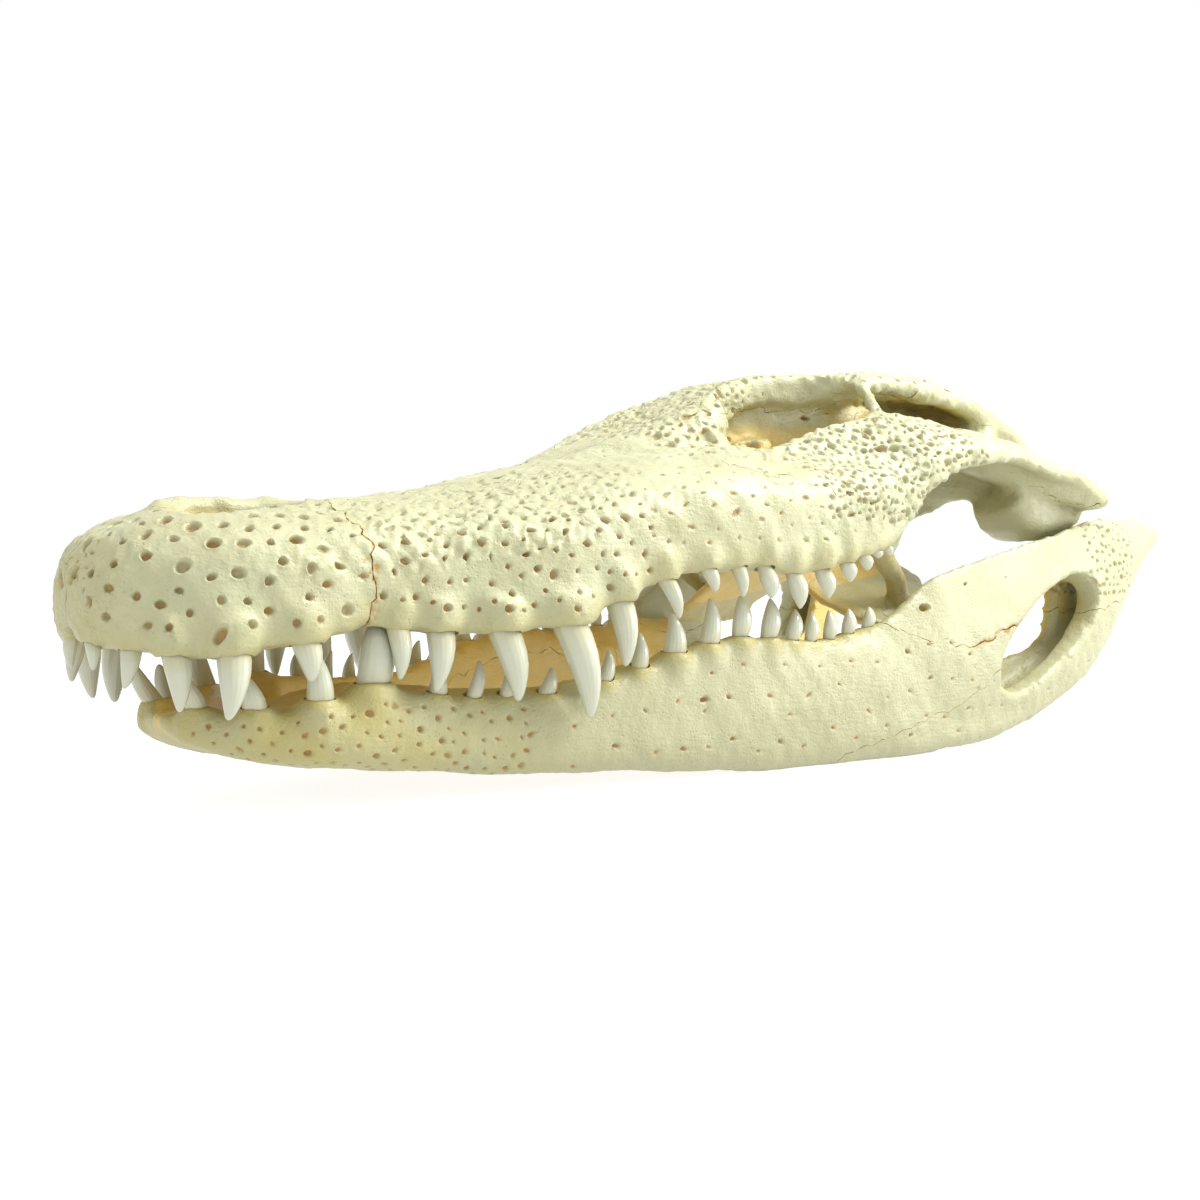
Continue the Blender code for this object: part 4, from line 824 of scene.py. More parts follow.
def fused(name, masses, hollows):
    """Masses fused into one smooth skin, with the hollows cut out."""
    body = finished(make_object(name, masses), "REMESH", mode="VOXEL", voxel_size=GRAIN)
    tool = finished(make_object("hollows", hollows), "REMESH", mode="VOXEL", voxel_size=GRAIN)
    cut(body, tool)
    bpy.data.objects.remove(tool)
    keep_largest(body)
    finished(body, "REMESH", mode="VOXEL", voxel_size=GRAIN)
    finished(body, "SMOOTH", iterations=EASE)
    print(name, "has", len(body.data.polygons), "squares")
    return body


skull = fused("skull", skull_heap, skull_cutters)
jaw = fused("jaw", jaw_heap, jaw_cutters)

# %% [markdown]
# Painted shade and grime: bone is made darker and ochre wherever other bone hides the sky from it, as
# shade falls there and grime gathers. Rays sent out from a coarse copy of the skin tell how sheltered
# each place is, and that number is handed on to the fine skin, where the material turns it into ochre.

# %% Measure how sheltered each place is
REACH = 0.03                  # how far a ray looks for other bone
RAYS = 14
COARSE = 0.003                # grain of the coarse copy
GRAZING = 0.1                 # rays that leave flatter than this along the skin don't count
FADING = 0.6                  # how much less bone hides at the end of a ray's reach


def values_of(thing, name):
    """One number for each vertex of an object, or nothing but zeros if it has none."""
    values = np.zeros(len(thing.data.vertices), np.float32)
    layer = thing.data.attributes.get(name)
    if layer is not None:
        layer.data.foreach_get("value", values)
    return values.astype(float)


def normals_of(thing):
    """The outward direction at each vertex."""
    normals = np.empty(len(thing.data.vertices) * 3, np.float32)
    thing.data.vertex_normals.foreach_get("vector", normals)
    return normals.reshape(-1, 3).astype(float)


def measure_shelter(body):
    """Keep how much of the sky other bone hides from each vertex, from 0 to 1."""
    coarse = finished(kept(body, "coarse"), "REMESH", mode="VOXEL", voxel_size=COARSE)
    tree = BVHTree.FromObject(coarse, bpy.context.evaluated_depsgraph_get())
    golden = math.pi * (3 - math.sqrt(5))
    rays = []
    for k in range(RAYS):
        height = 1 - 2 * (k + 0.5) / RAYS
        around = math.sqrt(1 - height * height)
        rays.append(Vector((around * math.cos(golden * k), around * math.sin(golden * k), height)))
    hidden = []
    for vert in coarse.data.vertices:
        start = vert.co + vert.normal * COARSE
        share = total = 0
        for ray in rays:
            facing = ray.dot(vert.normal)
            if facing > GRAZING:
                total += facing
                distance = tree.ray_cast(start, ray, REACH)[3]
                if distance is not None:
                    share += facing * (1 - FADING * distance / REACH)
        hidden.append(share / total)
    faces = [face.vertices[:] for face in coarse.data.polygons]
    finder = BVHTree.FromPolygons([vert.co for vert in coarse.data.vertices], faces)
    shade_and_grime = []
    for vert in body.data.vertices:
        corners = faces[finder.find_nearest(vert.co)[2]]
        shade_and_grime.append(sum(hidden[i] for i in corners) / len(corners))
    put_value(body, "shade_and_grime", shade_and_grime)
    put_value(body, "skin", np.ones(len(body.data.vertices)))
    bpy.data.objects.remove(coarse)
    print(body.name, "mean shelter", round(sum(shade_and_grime) / len(shade_and_grime), 2))


for body in (skull, jaw):
    measure_shelter(body)
    if FINE:
        finished(body, "SUBSURF", levels=1, render_levels=1)

# %% [markdown]
# ## Pits
# The face of an alligator is strewn with pits, through which nerves and blood reached the skin. They
# are drawn at random from a fixed seed, zone by zone, each with its own size and spacing: large and
# round on the snout, crowded on the cheek and brow, and long and slit-like, with a groove that
# trails back, on the lower jaw. A zone is a part of the outer skin, told by where it lies and by
# how far it faces outward and up.

# %% Zones of pits
MM = 0.001


class Zone:
    """Pits of one part of the skin: sizes and spacing in millimetres."""

    def __init__(self, body, inside, radius, spacing, depth, stretch=(1.0, 1.25), stain=(0.5, 1.0),
                 tail=0.0):
        self.body = body
        self.inside = inside
        self.radius = radius
        self.spacing = spacing
        self.depth = depth
        self.stretch = stretch
        self.stain = stain
        self.tail = tail


def out_of(curve, s):
    """Values of a curve at many places along the skull, from a table of every half unit."""
    steps = np.linspace(-4, 124, 257)
    return np.interp(s, steps, [along(curve, step) for step in steps])


NOSTRILS = (10.5, 5.4, 5.2)   # s of their middle, half their length, and half their breadth


def nostril(s, w):
    """How far a place lies outside the nostrils' edge, as a share of their size, from the top."""
    middle, long, broad = NOSTRILS
    return np.hypot((s - middle) / long, w / broad) - 1


def snout(s, w, h, out, rise):
    """The outer skin of the snout over its teeth."""
    return (s < 46) & (h > out_of(ALVEOLAR, s) + 1.3) & (out + np.maximum(rise, 0) > 0.3) & (
        nostril(s, w) > 0.10) & ~((w < 1.3) & (s > 3.6) & (s < 18))


# Each zone: body, where it is, radius, spacing and depth in mm, then stretch, stain and tail.
ZONES = (
    Zone("skull", lambda s, w, h, out, rise: snout(s, w, h, out, rise) & (s < 16),
         (0.95, 1.8), (5.4, 7.4), 2.0, stretch=(1.0, 1.5), stain=(0.35, 1.0)),
    Zone("skull", lambda s, w, h, out, rise: snout(s, w, h, out, rise) & (s < 1.2) & (w < 3),
         (0.45, 0.7), (2.4, 3.2), 0.6, stretch=(1.2, 2.4), stain=(0.3, 0.8)),
    Zone("skull", lambda s, w, h, out, rise: snout(s, w, h, out, rise) & (s > 17.3) & (s < 40)
         & (w > 9) & (h < out_of(FACE_TOP, s) - 3.4), (0.7, 1.3), (4.1, 5.8), 1.5,
         stretch=(1.0, 1.2), stain=(0.6, 1.0)),
    Zone("skull", lambda s, w, h, out, rise: snout(s, w, h, out, rise) & (s > 17.3) & (s < 40)
         & (w > 5.5) & (h >= out_of(FACE_TOP, s) - 3.4), (0.55, 1.15), (2.9, 4.0), 1.0,
         stretch=(1.2, 2.4), stain=(0.1, 0.6)),
    Zone("skull", lambda s, w, h, out, rise: (s > 40) & (s < 64) & (out + rise > 0.4) & (w > 8)
         & (h > out_of(ALVEOLAR, s) + 2.2) & (h < 27.5), (0.5, 0.95), (5.0, 7.5), 0.7,
         stretch=(1.3, 2.6), stain=(0.3, 0.9)),
    Zone("skull", lambda s, w, h, out, rise: (s > 17) & (s < 52) & (rise > 0.6) & (w < 7),
         (0.45, 0.9), (5.5, 8.0), 0.5, stretch=(1.4, 3.0), stain=(0.1, 0.5)),
    Zone("skull", lambda s, w, h, out, rise: (s > 60) & (s < 83.5) & (out > 0.35) & (w > 12)
         & (h > 21.6 + 0.12 * np.maximum(s - 70, 0)) & (h < 33.2), (0.65, 1.5), (2.3, 3.7), 1.3,
         stretch=(1.0, 1.7), stain=(0.05, 0.5)),
    Zone("skull", lambda s, w, h, out, rise: (s > 50) & (s < 66) & (rise + 0.6 * out > 0.45)
         & (w < 12.5) & (h > 26.5), (0.7, 1.35), (2.9, 3.9), 1.0, stretch=(1.0, 1.9),
         stain=(0.2, 0.8)),
    Zone("skull", lambda s, w, h, out, rise: (s > 66) & (rise > 0.75) & (h > 36.2),
         (0.9, 1.6), (3.6, 4.8), 1.1, stain=(0.3, 0.8)),
    Zone("jaw", lambda s, w, h, out, rise: (s < 30) & (out > 0.2) & (rise < 0.6)
         & (h < out_of(JAW_RIM, s) - 0.9), (0.55, 1.05), (3.4, 4.8), 0.9, stretch=(1.0, 1.6)),
    Zone("jaw", lambda s, w, h, out, rise: (s > 30) & (s < 80) & (out > 0.75)
         & (h < out_of(JAW_RIM, s) - 2.0) & (h > 1.0), (0.5, 0.75), (8.5, 14.0), 0.8,
         stretch=(1.6, 2.4), tail=5.0),
    Zone("jaw", lambda s, w, h, out, rise: (s > 102) & (s < 112) & (out > 0.5) & (h > 14.5),
         (0.7, 1.2), (2.8, 3.6), 0.9, stretch=(1.0, 2.2), stain=(0.2, 0.7)),
    Zone("jaw", lambda s, w, h, out, rise: (s > 80) & (s < 104) & (out > 0.6) & (h < 8.0),
         (0.4, 0.7), (6.0, 9.0), 0.4, stretch=(1.2, 2.6), stain=(0.1, 0.4)),
)
print(len(ZONES), "zones")

# %% Draw a zone's pits
SEED = 11
TRIES = 9000                  # how many places of a zone are tried
SMALLER = 1.5                 # above 1, there are more small pits than large ones
ROUNDER = 2                   # above 1, there are more round pits than long ones
STRAY = 0.35                  # how far a pit's long way strays from straight back
Pit = namedtuple("Pit", "spot normal run radius stretch depth stain tail")


def between(limits, share):
    """The value at this share of the way from a lower to an upper limit."""
    return limits[0] + (limits[1] - limits[0]) * share


def draw_pits(zone, points, normals, draw):
    """Pits of one zone, set at random on its skin, none nearer to another than their spacing."""
    s, w, h = measured(points)
    out = -normals[:, 1] * np.sign(w)
    found = np.flatnonzero(zone.inside(s, np.abs(w), h, out, normals[:, 2]))
    chosen = draw.permutation(found)[:TRIES]
    centres = np.empty((0, 3))
    found_pits = []
    for index in chosen:
        size = draw.random() ** SMALLER
        spacing = MM * between(zone.spacing, size)
        spot = points[index]
        if len(centres) and ((centres - spot) ** 2).sum(1).min() < spacing ** 2:
            continue
        centres = np.vstack((centres, spot))
        normal = normals[index]
        run = np.array((1.0, STRAY * draw.normal(), STRAY * draw.normal()))
        run -= run.dot(normal) * normal
        run /= np.linalg.norm(run)
        radius = MM * between(zone.radius, size)
        stretch = between(zone.stretch, draw.random() ** ROUNDER)
        stain = between(zone.stain, draw.random())
        # Large pits are deeper, and no two are quite the same.
        depth = MM * zone.depth * (0.6 + 0.4 * size) * (0.8 + 0.4 * draw.random())
        found_pits.append(Pit(spot, normal, run, radius, stretch, depth, stain, zone.tail * MM))
    return found_pits


# %% [markdown]
# Some marks are no chance: the hollows between nasal and frontal, the dents on the brow, the holes in the
# orbit's wall and the cheek, and the nerve holes of the jaw. They are pits too, set one by one at their
# listed places.

# %% Marks that every alligator has
# Body, place, radius and depth in mm, stretch and stain. Each mark is on both sides.
LANDMARKS = (
    ("skull", (48.0, 2.6, 29.6), 2.2, 2.4, 2.2, 0.5), ("skull", (50.9, 3.4, 30.6), 1.9, 2.0, 1.3, 0.6),
    ("skull", (55.3, 4.3, 32.3), 2.6, 1.8, 1.5, 0.2), ("skull", (57.4, 2.6, 33.3), 3.0, 1.6, 1.3, 0.2),
    ("skull", (61.6, 4.6, 34.6), 1.6, 1.2, 1.5, 0.3), ("skull", (55.0, 9.8, 30.0), 3.0, 1.3, 1.4, 0.1),
    ("skull", (47.2, 12.2, 26.9), 1.2, 1.2, 1.6, 0.6), ("skull", (49.8, 12.4, 26.9), 1.1, 1.2, 1.6, 0.5),
    ("skull", (52.4, 12.4, 27.3), 1.4, 1.3, 1.5, 0.6), ("skull", (67.0, 4.5, 30.5), 3.3, 3.0, 1.3, 1.0),
    ("skull", (66.6, 5.0, 34.9), 0.5, 1.2, 1.0, 1.0), ("skull", (68.8, 5.0, 35.2), 0.5, 1.2, 1.0, 1.0),
    ("skull", (76.8, 3.6, 33.6), 0.9, 1.8, 2.6, 1.0),
    ("skull", (76.6, 11.8, 35.2), 0.7, 1.2, 1.2, 0.9), ("skull", (-1.2, 0.9, 16.3), 1.3, 0.9, 1.8, 0.6),
    ("skull", (70.6, 17.7, 28.7), 1.5, 1.3, 1.6, 0.6), ("jaw", (74.0, 20.4, 13.5), 1.3, 2.0, 1.8, 1.0),
    ("jaw", (80.0, 21.2, 15.8), 0.7, 1.0, 1.2, 0.9), ("jaw", (86.6, 21.6, 16.4), 0.5, 0.9, 1.2, 0.7),
    ("jaw", (46.7, 17.1, 6.0), 0.8, 1.3, 2.2, 1.0))


def landmark(mark, points, normals, side):
    """One such mark as a pit on the nearest skin of a side."""
    _, (s, w, h), radius, depth, stretch, stain = mark
    index = ((points - np.array(place(s, w * side, h))) ** 2).sum(1).argmin()
    normal = normals[index]
    run = np.array((1.0, 0, 0)) - normal[0] * normal
    run /= np.linalg.norm(run)
    return Pit(points[index], normal, run, radius * MM, stretch, depth * MM, stain, 0.0)


print(len(LANDMARKS), "marks on each side")

# %% Draw all pits
draw = np.random.default_rng(SEED)
skins = {body.name: (points_of(body), normals_of(body)) for body in (skull, jaw)}
pits = [landmark(mark, *skins[mark[0]], side) for mark in LANDMARKS for side in (1, -1)]
for zone in ZONES:
    fresh = draw_pits(zone, *skins[zone.body], draw)
    pits += fresh
    print("pits:", len(fresh))
print(len(pits), "pits in all")

# %% [markdown]
# ## Sockets
# Each tooth stands in its own socket, a little wider than its root. One cutter with a tapered plug
# for each tooth of the left side is taken out of the left half; the right half is made from the
# left one later, so every cut is made only once.

# %% Halve the bodies and cut the sockets
GAP = 0.00014                 # width of a suture, in metres
SEAM = GAP / UNIT / 2         # half of it, in units
NECKS = (0.47, 0.40)          # half a root's breadth, in breadths of its tooth: front, rear teeth
FLARE = 1.1                   # how much wider a socket is at its mouth
PLAY = 0.12                   # space round a root, in units
MOUTH = 0.8                   # how far a socket's cutter stands out of the bone
PLUG = ((0.0, 1.0), (0.55, 0.9), (1.06, 0.76))      # shares of the depth and of the breadth
PLUG_CORNERS = 20


def half_block():
    """Everything on the animal's left, from half a suture beside the middle."""
    shape = bmesh.new()
    bmesh.ops.create_cube(shape, size=1, matrix=Matrix.Translation((0, -0.5 - GAP / 2, 0)))
    return make_object("half", shape)


def sockets(upper):
    """A plug for each root of a left row, wider than the root by its play."""
    row, line, rim = row_of(upper)
    shape = bmesh.new()
    for s, length, breadth, behind in row:
        w, h = along(line, s), along(rim, s)
        neck = NECKS[s > REAR_TEETH]
        back, inward, deep = root_of(length, behind, upper)
        wide = neck * breadth * FLARE + PLAY
        stations = [(s, w, h - math.copysign(MOUTH, deep), wide, wide, 0)]
        for part, share in PLUG:
            half = share * neck * breadth + PLAY
            stations.append((s + back * part, w + inward * part, h + deep * part, half, half, 0))
        bar(shape, stations, paired=False, power=2, corners=PLUG_CORNERS)
    return make_object("sockets", shape)


for body, upper in ((skull, True), (jaw, False)):
    for tool, operation in ((half_block(), "INTERSECT"), (sockets(upper), "DIFFERENCE")):
        cut(body, tool, operation)
        bpy.data.objects.remove(tool)
    print(body.name, "half has", len(body.data.polygons), "faces")

# %% [markdown]
# ## Parting the bones
# Sutures are never straight: the two edges grow into each other in waves. A bone's territory is a
# block that is subdivided and then pushed about by a smooth field of waves, the same field for all,
# so that the edge one bone loses is the edge its neighbour gets, one suture's width away. Bones are
# taken off in order, so a later territory may reach over an earlier one.

# %% Territories of the skull's bones
# Name, whether it is one of a pair, and stations: s, w from and to, h from and to.
OUT = 27                      # a w outside the whole skull
TOP = 44                      # an h over the whole skull
IN = -1.5                     # a w across the middle
SKULL_BONES = (
    ("nasal", True, ((4.4, IN, 1.2, 20.6, TOP), (15.6, IN, 1.3, 20.4, TOP),
                     (18.5, IN, 2.6, 20.4, TOP), (26, IN, 3.4, 21.2, TOP),
                     (38, IN, 3.3, 23.6, TOP), (47, IN, 2.4, 26.2, TOP),
                     (55, IN, 0.7, 29.4, TOP))),
    ("frontal", False, ((50, IN, 0.7, 28.0, TOP), (55, IN, 2.4, 29.6, TOP),
                        (60, IN, 3.4, 31.6, TOP), (63, IN, 8.6, 33.4, TOP),
                        (70, IN, 8.6, 34.2, TOP), (77.2, IN, 8.6, 34.4, TOP))),
    ("prefrontal", True, ((47, 2.6, 3.6, 26.4, TOP), (51, 1.6, 6.0, 26.6, TOP),
                          (55, 2.2, 7.6, 27.4, TOP), (59, 3.0, 8.6, 28.4, TOP),
                          (64.5, 3.4, 9.4, 29.6, TOP))),
    ("lacrimal", True, ((45, 4.4, 6.4, 24.6, TOP), (50, 5.6, 10.2, 24.2, TOP),
                        (55, 7.2, 12.0, 24.4, TOP), (61.6, 7.8, 13.6, 25.6, TOP))),
    ("ectopterygoid", True, ((68.8, 14.6, 17.3, 18.0, 23.0), (72, 13.6, 17.6, 17.0, 24.0),
                             (76, 13.0, 18.0, 14.0, 24.0), (80, 12.5, 18.0, 10.0, 20.0),
                             (88, 12.3, 16.0, 6.0, 18.0))),
    ("jugal", True, ((51, 12.6, OUT, 26.6, 27.8), (56, 11.8, OUT, 25.4, 34.4),
                     (61, 11.4, OUT, 24.2, 34.4), (66.5, 11.0, OUT, 22.9, 34.4),
                     (72, 11.6, OUT, 21.4, 34.4), (79, 12.4, OUT, 19.0, 34.4),
                     (83, 15.6, OUT, 19.0, 34.4), (90.5, 18.0, OUT, 19.0, 34.4))),
    ("quadratojugal", True, ((86, 17.2, OUT, 24.0, 34.4), (93, 18.4, OUT, 24.0, 34.4),
                             (99, 20.2, OUT, 24.2, 34.4), (104.3, 21.8, OUT, 24.4, 34.4))),
    ("squamosal", True, ((84.6, 9.3, 17.0, 34.2, TOP), (88, 8.7, 17.0, 34.0, TOP),
                         (94, 8.9, 17.0, 33.6, TOP), (97.4, 9.2, 17.0, 33.2, TOP),
                         (98.6, 9.3, 17.0, 31.0, TOP), (104.6, 9.3, 17.0, 29.0, TOP))),
    ("postorbital", True, ((73, 6.9, 17.0, 33.4, TOP), (78, 6.9, 17.0, 33.4, TOP),
                           (84.5, 8.2, 17.0, 34.0, TOP))),
    ("parietal", False, ((77.0, IN, 9.3, 34.6, TOP), (99, IN, 9.3, 34.4, TOP))),
    ("braincase", False, ((57.6, IN, 4.6, 22.6, 36), (76, IN, 5.0, 22.6, 36),
                          (83, IN, 6.6, 21.4, 36), (91.5, IN, 7.4, 17.6, 36),
                          (93.4, IN, 11.6, 17.6, 36), (99.0, IN, 15.6, 17.0, 36),
                          (104, IN, 12.0, 17.0, 36))),
    ("quadrate", True, ((82, 5.5, 21.0, 21.6, 35), (94, 5.5, 22.0, 21.6, 35),
                        (97, 5.5, OUT, 18.6, 35), (108, 5.5, OUT, 18.6, 35))),
    ("palatine", True, ((43.6, IN, 1.6, 13.0, 19.6), (47, IN, 4.8, 13.0, 21.6),
                        (58, IN, 4.6, 13.0, 22.4), (70.6, IN, 6.6, 13.0, 22.4))),
    ("pterygoid", True, ((69, IN, 16.0, 6.0, 23.0), (96, IN, 16.0, 6.0, 23.0))),
    ("premaxilla", True, ((-4, IN, OUT, 5, TOP), (16.5, IN, OUT, 5, TOP))),
    ("maxilla", True, ((15, IN, OUT, 5, TOP), (76, IN, OUT, 5, TOP))),
)
print(len(SKULL_BONES), "territories in the skull's left half")

# %% Territories of the jaw's bones
JAW_BONES = (
    ("splenial", True, ((17.6, 0.5, 3.0, 3.2, 6.6), (22, 4.0, 7.6, 1.9, 5.4), (28, 6.0, 9.9, 1.2, 4.8),
                        (33, 7.6, 11.4, 0.9, 4.8), (40, 9.4, 13.1, 0.5, 6.0), (48, 11.0, 14.6, 0.2, 8.4),
                        (56, 12.2, 15.8, 0.2, 8.6), (66, 12.8, 16.3, 0.2, 8.6))),
    ("articular", True, ((97.6, 10.0, 19.6, 15.2, TOP), (108, 10.0, 19.6, 14.8, TOP),
                         (123, 10.0, 19.9, 15.4, TOP))),
    ("surangular", True, ((69.2, 10.0, OUT, 12.0, TOP), (72, 10.0, OUT, 10.6, TOP),
                          (80, 10.0, OUT, 9.4, TOP), (84, 10.0, OUT, 10.6, TOP),
                          (94, 10.0, OUT, 13.0, TOP), (103, 10.0, OUT, 12.4, TOP),
                          (123, 10.0, OUT, 16.5, TOP))),
    ("angular", True, ((62.0, 10.0, OUT, -3.0, -0.4), (68, 10.0, OUT, -3.0, 1.4),
                       (79, 10.0, OUT, -3.0, 3.8), (86, 10.0, OUT, -3.0, 7.4),
                       (88, 10.0, OUT, -3.0, 20.0), (123, 10.0, OUT, -3.0, 20.0))),
    ("dentary", True, ((3, IN, OUT, -3, TOP), (90, IN, OUT, -3, TOP))),
)
print(len(JAW_BONES), "territories in the jaw's left half")

# %% Waves of the sutures
WAVES = 0.26                  # how far a suture swings, in units
WAVE_KINDS = ((2.1, 0.5), (1.25, 0.33), (0.8, 0.17))     # length in units, and share of the swing
WAVE_SEED = 5
WAVE_COUNT = 7                # waves of each kind
WAVE_SCALE = 0.75             # so that they add up to about the swing


def field(kinds, seed, count, scale):
    """A smooth field of directions as a sum of sines: count of each kind (length, swing)."""
    own = np.random.default_rng(seed)
    parts = []
    for size, swing in kinds:
        for _ in range(count):
            heading = own.normal(size=3)
            heading *= 2 * math.pi / size / np.linalg.norm(heading)
            parts.append((heading, own.random(3) * 2 * math.pi, swing * scale))
    return parts


def swung(parts, places):
    """The value of a field at many (s, w, h), in three directions."""
    total = np.zeros_like(places)
    for heading, phases, swing in parts:
        total += swing * np.sin((places @ heading)[:, None] + phases)
    return total


SUTURE_FIELD = field(WAVE_KINDS, WAVE_SEED, WAVE_COUNT, WAVE_SCALE)


def waves(places):
    """How far a suture swings at many (s, w, h)."""
    return swung(SUTURE_FIELD, places) * WAVES


print(len(SUTURE_FIELD), "waves")

# %% The block that becomes each territory
BLOCK_CUTS = 54               # so many that its sides can follow the waves

bpy.ops.object.select_all(action="DESELECT")
bpy.ops.mesh.primitive_cube_add(size=1, location=(0.5, 0.5, 0.5))
block = bpy.context.object
block.name = "block"
bpy.ops.object.transform_apply()
bpy.ops.object.mode_set(mode="EDIT")
bpy.ops.mesh.select_all(action="SELECT")
bpy.ops.mesh.subdivide(number_cuts=BLOCK_CUTS)
bpy.ops.object.mode_set(mode="OBJECT")
BLOCK_POINTS = points_of(block)


def territory(stations, grow):
    """A bone's territory with wavy sides, grown all round by a margin."""
    steps = [station[0] for station in stations]
    steps[0] -= grow
    steps[-1] += grow
    s = steps[0] + BLOCK_POINTS[:, 0] * (steps[-1] - steps[0])
    w_from, w_to, h_from, h_to = [np.interp(s, steps, [station[k] for station in stations])
                                  for k in (1, 2, 3, 4)]
    w_from, w_to, h_from, h_to = w_from - grow, w_to + grow, h_from - grow, h_to + grow
    w = w_from + BLOCK_POINTS[:, 1] * (w_to - w_from)
    h = h_from + BLOCK_POINTS[:, 2] * (h_to - h_from)
    places = np.stack((s, w, h), 1)
    places += waves(places)
    tool = kept(block, "territory")
    put_points(tool, np.stack(((places[:, 0] - MIDDLE) * UNIT, -places[:, 1] * UNIT,
                               (places[:, 2] - FLOOR_LEVEL) * UNIT), 1))
    tool.data.flip_normals()
    return tool


print("block of", len(BLOCK_POINTS), "points")

# %% Part the bones


def part_bones(body, bones):
    """Part a left half along its sutures, and return its bones by name."""
    made = {}
    for name, _, stations in bones:
        tool = territory(stations, 0)
        bone = cut(kept(body, name), tool, "INTERSECT")
        bpy.data.objects.remove(tool)
        if name != bones[-1][0]:
            tool = territory(stations, 2 * SEAM)
            cut(body, tool)
            bpy.data.objects.remove(tool)
        made[name] = keep_largest(bone)
        print(name, len(bone.data.polygons), "faces")
    bpy.data.objects.remove(body)
    return made


bones = part_bones(skull, SKULL_BONES)
bones.update(part_bones(jaw, JAW_BONES))
bpy.data.objects.remove(block)

# %% [markdown]
# A bone of the middle line is one piece, so its left half is opened where it was cut, closed up to
# the middle and mirrored. A paired bone gets a mirrored twin. The pits are not mirrored: they are
# carved after this step, each side with its own, as no animal is quite the same on both sides.

# %% Whole bones and right bones
TINY = 1e-6                   # in metres: nearer than this to the cut counts as on it


def made_whole(bone):
    """Join the left half of a middle bone to its mirrored right half."""
    shape = bmesh.new()
    shape.from_mesh(bone.data)
    inner = {vert for vert in shape.verts if abs(vert.co.y + GAP / 2) < TINY}
    cap = [face for face in shape.faces if inner.issuperset(face.verts)]
    bmesh.ops.delete(shape, geom=cap, context="FACES")
    for vert in inner:
        if vert.is_valid:
            vert.co.y = 0
    shape.to_mesh(bone.data)
    shape.free()
    return finished(bone, "MIRROR", use_axis=(False, True, False), use_mirror_merge=True,
                    merge_threshold=TINY)


def right_twin(bone, name):
    """The same bone of the right side."""
    twin = kept(bone, name)
    put_points(twin, points_of(twin) * (1, -1, 1))
    twin.data.flip_normals()
    return twin


for name, paired, stations in SKULL_BONES + JAW_BONES:
    bone = bones.pop(name)
    if paired:
        bone.name = name + "_L"
        bones[name + "_L"] = bone
        bones[name + "_R"] = right_twin(bone, name + "_R")
    else:
        bones[name] = made_whole(bone)
print(len(bones), "bones")

# %% [markdown]
# ## Carving
# Each pit presses the skin in along one direction, with a steep wall, a flat floor and a faint
# raised rim, as a carver's punch would. The push depends only on the place, so a pit that lies
# across a suture is carved into both bones alike. The faces round each pit are halved first, to
# give the punch something to shape. A slow field of waves then takes away the machine-made
# evenness, and a finer one roughens the snout, the cheek, the brow and the skull table. The jaw is
# smoother, so it takes only a part of both.

# %% The punch
PIT_WALL = (0.8, 0.18)        # how far out a pit's wall stands, and how far it leans, in radii
PIT_RIM = (0.12, 1.22, 0.22)  # height of its rim in depths, its place and its breadth in radii


class Skin:
    """The vertices of a bone, sorted so that those near a spot are found at once."""

    def __init__(self, points):
        self.points = points
        self.order = np.argsort(points[:, 0])
        self.sorted = points[self.order, 0]

    def near(self, spot, reach):
        """Which vertices lie within reach of a spot."""
        first, last = np.searchsorted(self.sorted, (spot[0] - reach, spot[0] + reach))
        found = self.order[first:last]
        return found[((self.points[found] - spot) ** 2).sum(1) < reach ** 2]


def shares(points, pit):
    """For points near a pit: how deep it presses them, from 0 to 1, and how high its rim is."""
    away = points - pit.spot
    height = away @ pit.normal
    length = away @ pit.run
    side = away @ np.cross(pit.normal, pit.run)
    across = np.hypot(length / (pit.radius * pit.stretch), side / pit.radius)
    wall_place, wall_lean = PIT_WALL
    rim_height, rim_place, rim_breadth = PIT_RIM
    pressed = 0.5 * (1 - np.tanh((across - wall_place) / wall_lean))
    rim = rim_height * np.exp(-((across - rim_place) / rim_breadth) ** 2)
    if pit.tail:
        # The groove of a nerve trails back from the pit, and gets narrow and shallow.
        fade = np.clip(1 - length / pit.tail, 0, 1) * (length > 0)
        groove = 0.5 * fade * np.exp(-(side / (pit.radius * (0.35 + 0.4 * fade))) ** 2)
        pressed = np.maximum(pressed, groove)
    # What lies far behind this skin, such as a wall's other face, isn't pressed.
    front = np.clip(1.6 + height / (1.5 * pit.depth + 0.4 * MM), 0, 1)
    return pressed * front, rim * front


print("deepest pit:", round(max(pit.depth for pit in pits) / MM, 1), "mm")

# %% Halve the faces round the pits
REFINED_BALL = 1.6            # the ball and the ring round a pit that are refined, in its radii
REFINED_RING = 1.5


def refined_round(bone, own):
    """Halve the edges of a bone round its own pits."""
    points = points_of(bone)
    skin = Skin(points)
    marked = np.zeros(len(points), bool)
    for pit in own:
        found = skin.near(pit.spot, REFINED_BALL * pit.radius * pit.stretch)
        away = points[found] - pit.spot
        across = np.hypot(away @ pit.run / pit.stretch, away @ np.cross(pit.normal, pit.run))
        marked[found[across < REFINED_RING * pit.radius]] = True
    marked = marked.tolist()
    shape = bmesh.new()
    shape.from_mesh(bone.data)
    shape.verts.ensure_lookup_table()
    edges = [edge for edge in shape.edges if marked[edge.verts[0].index]
             and marked[edge.verts[1].index]]
    bmesh.ops.subdivide_edges(shape, edges=edges, cuts=1, use_grid_fill=True)
    shape.to_mesh(bone.data)
    shape.free()


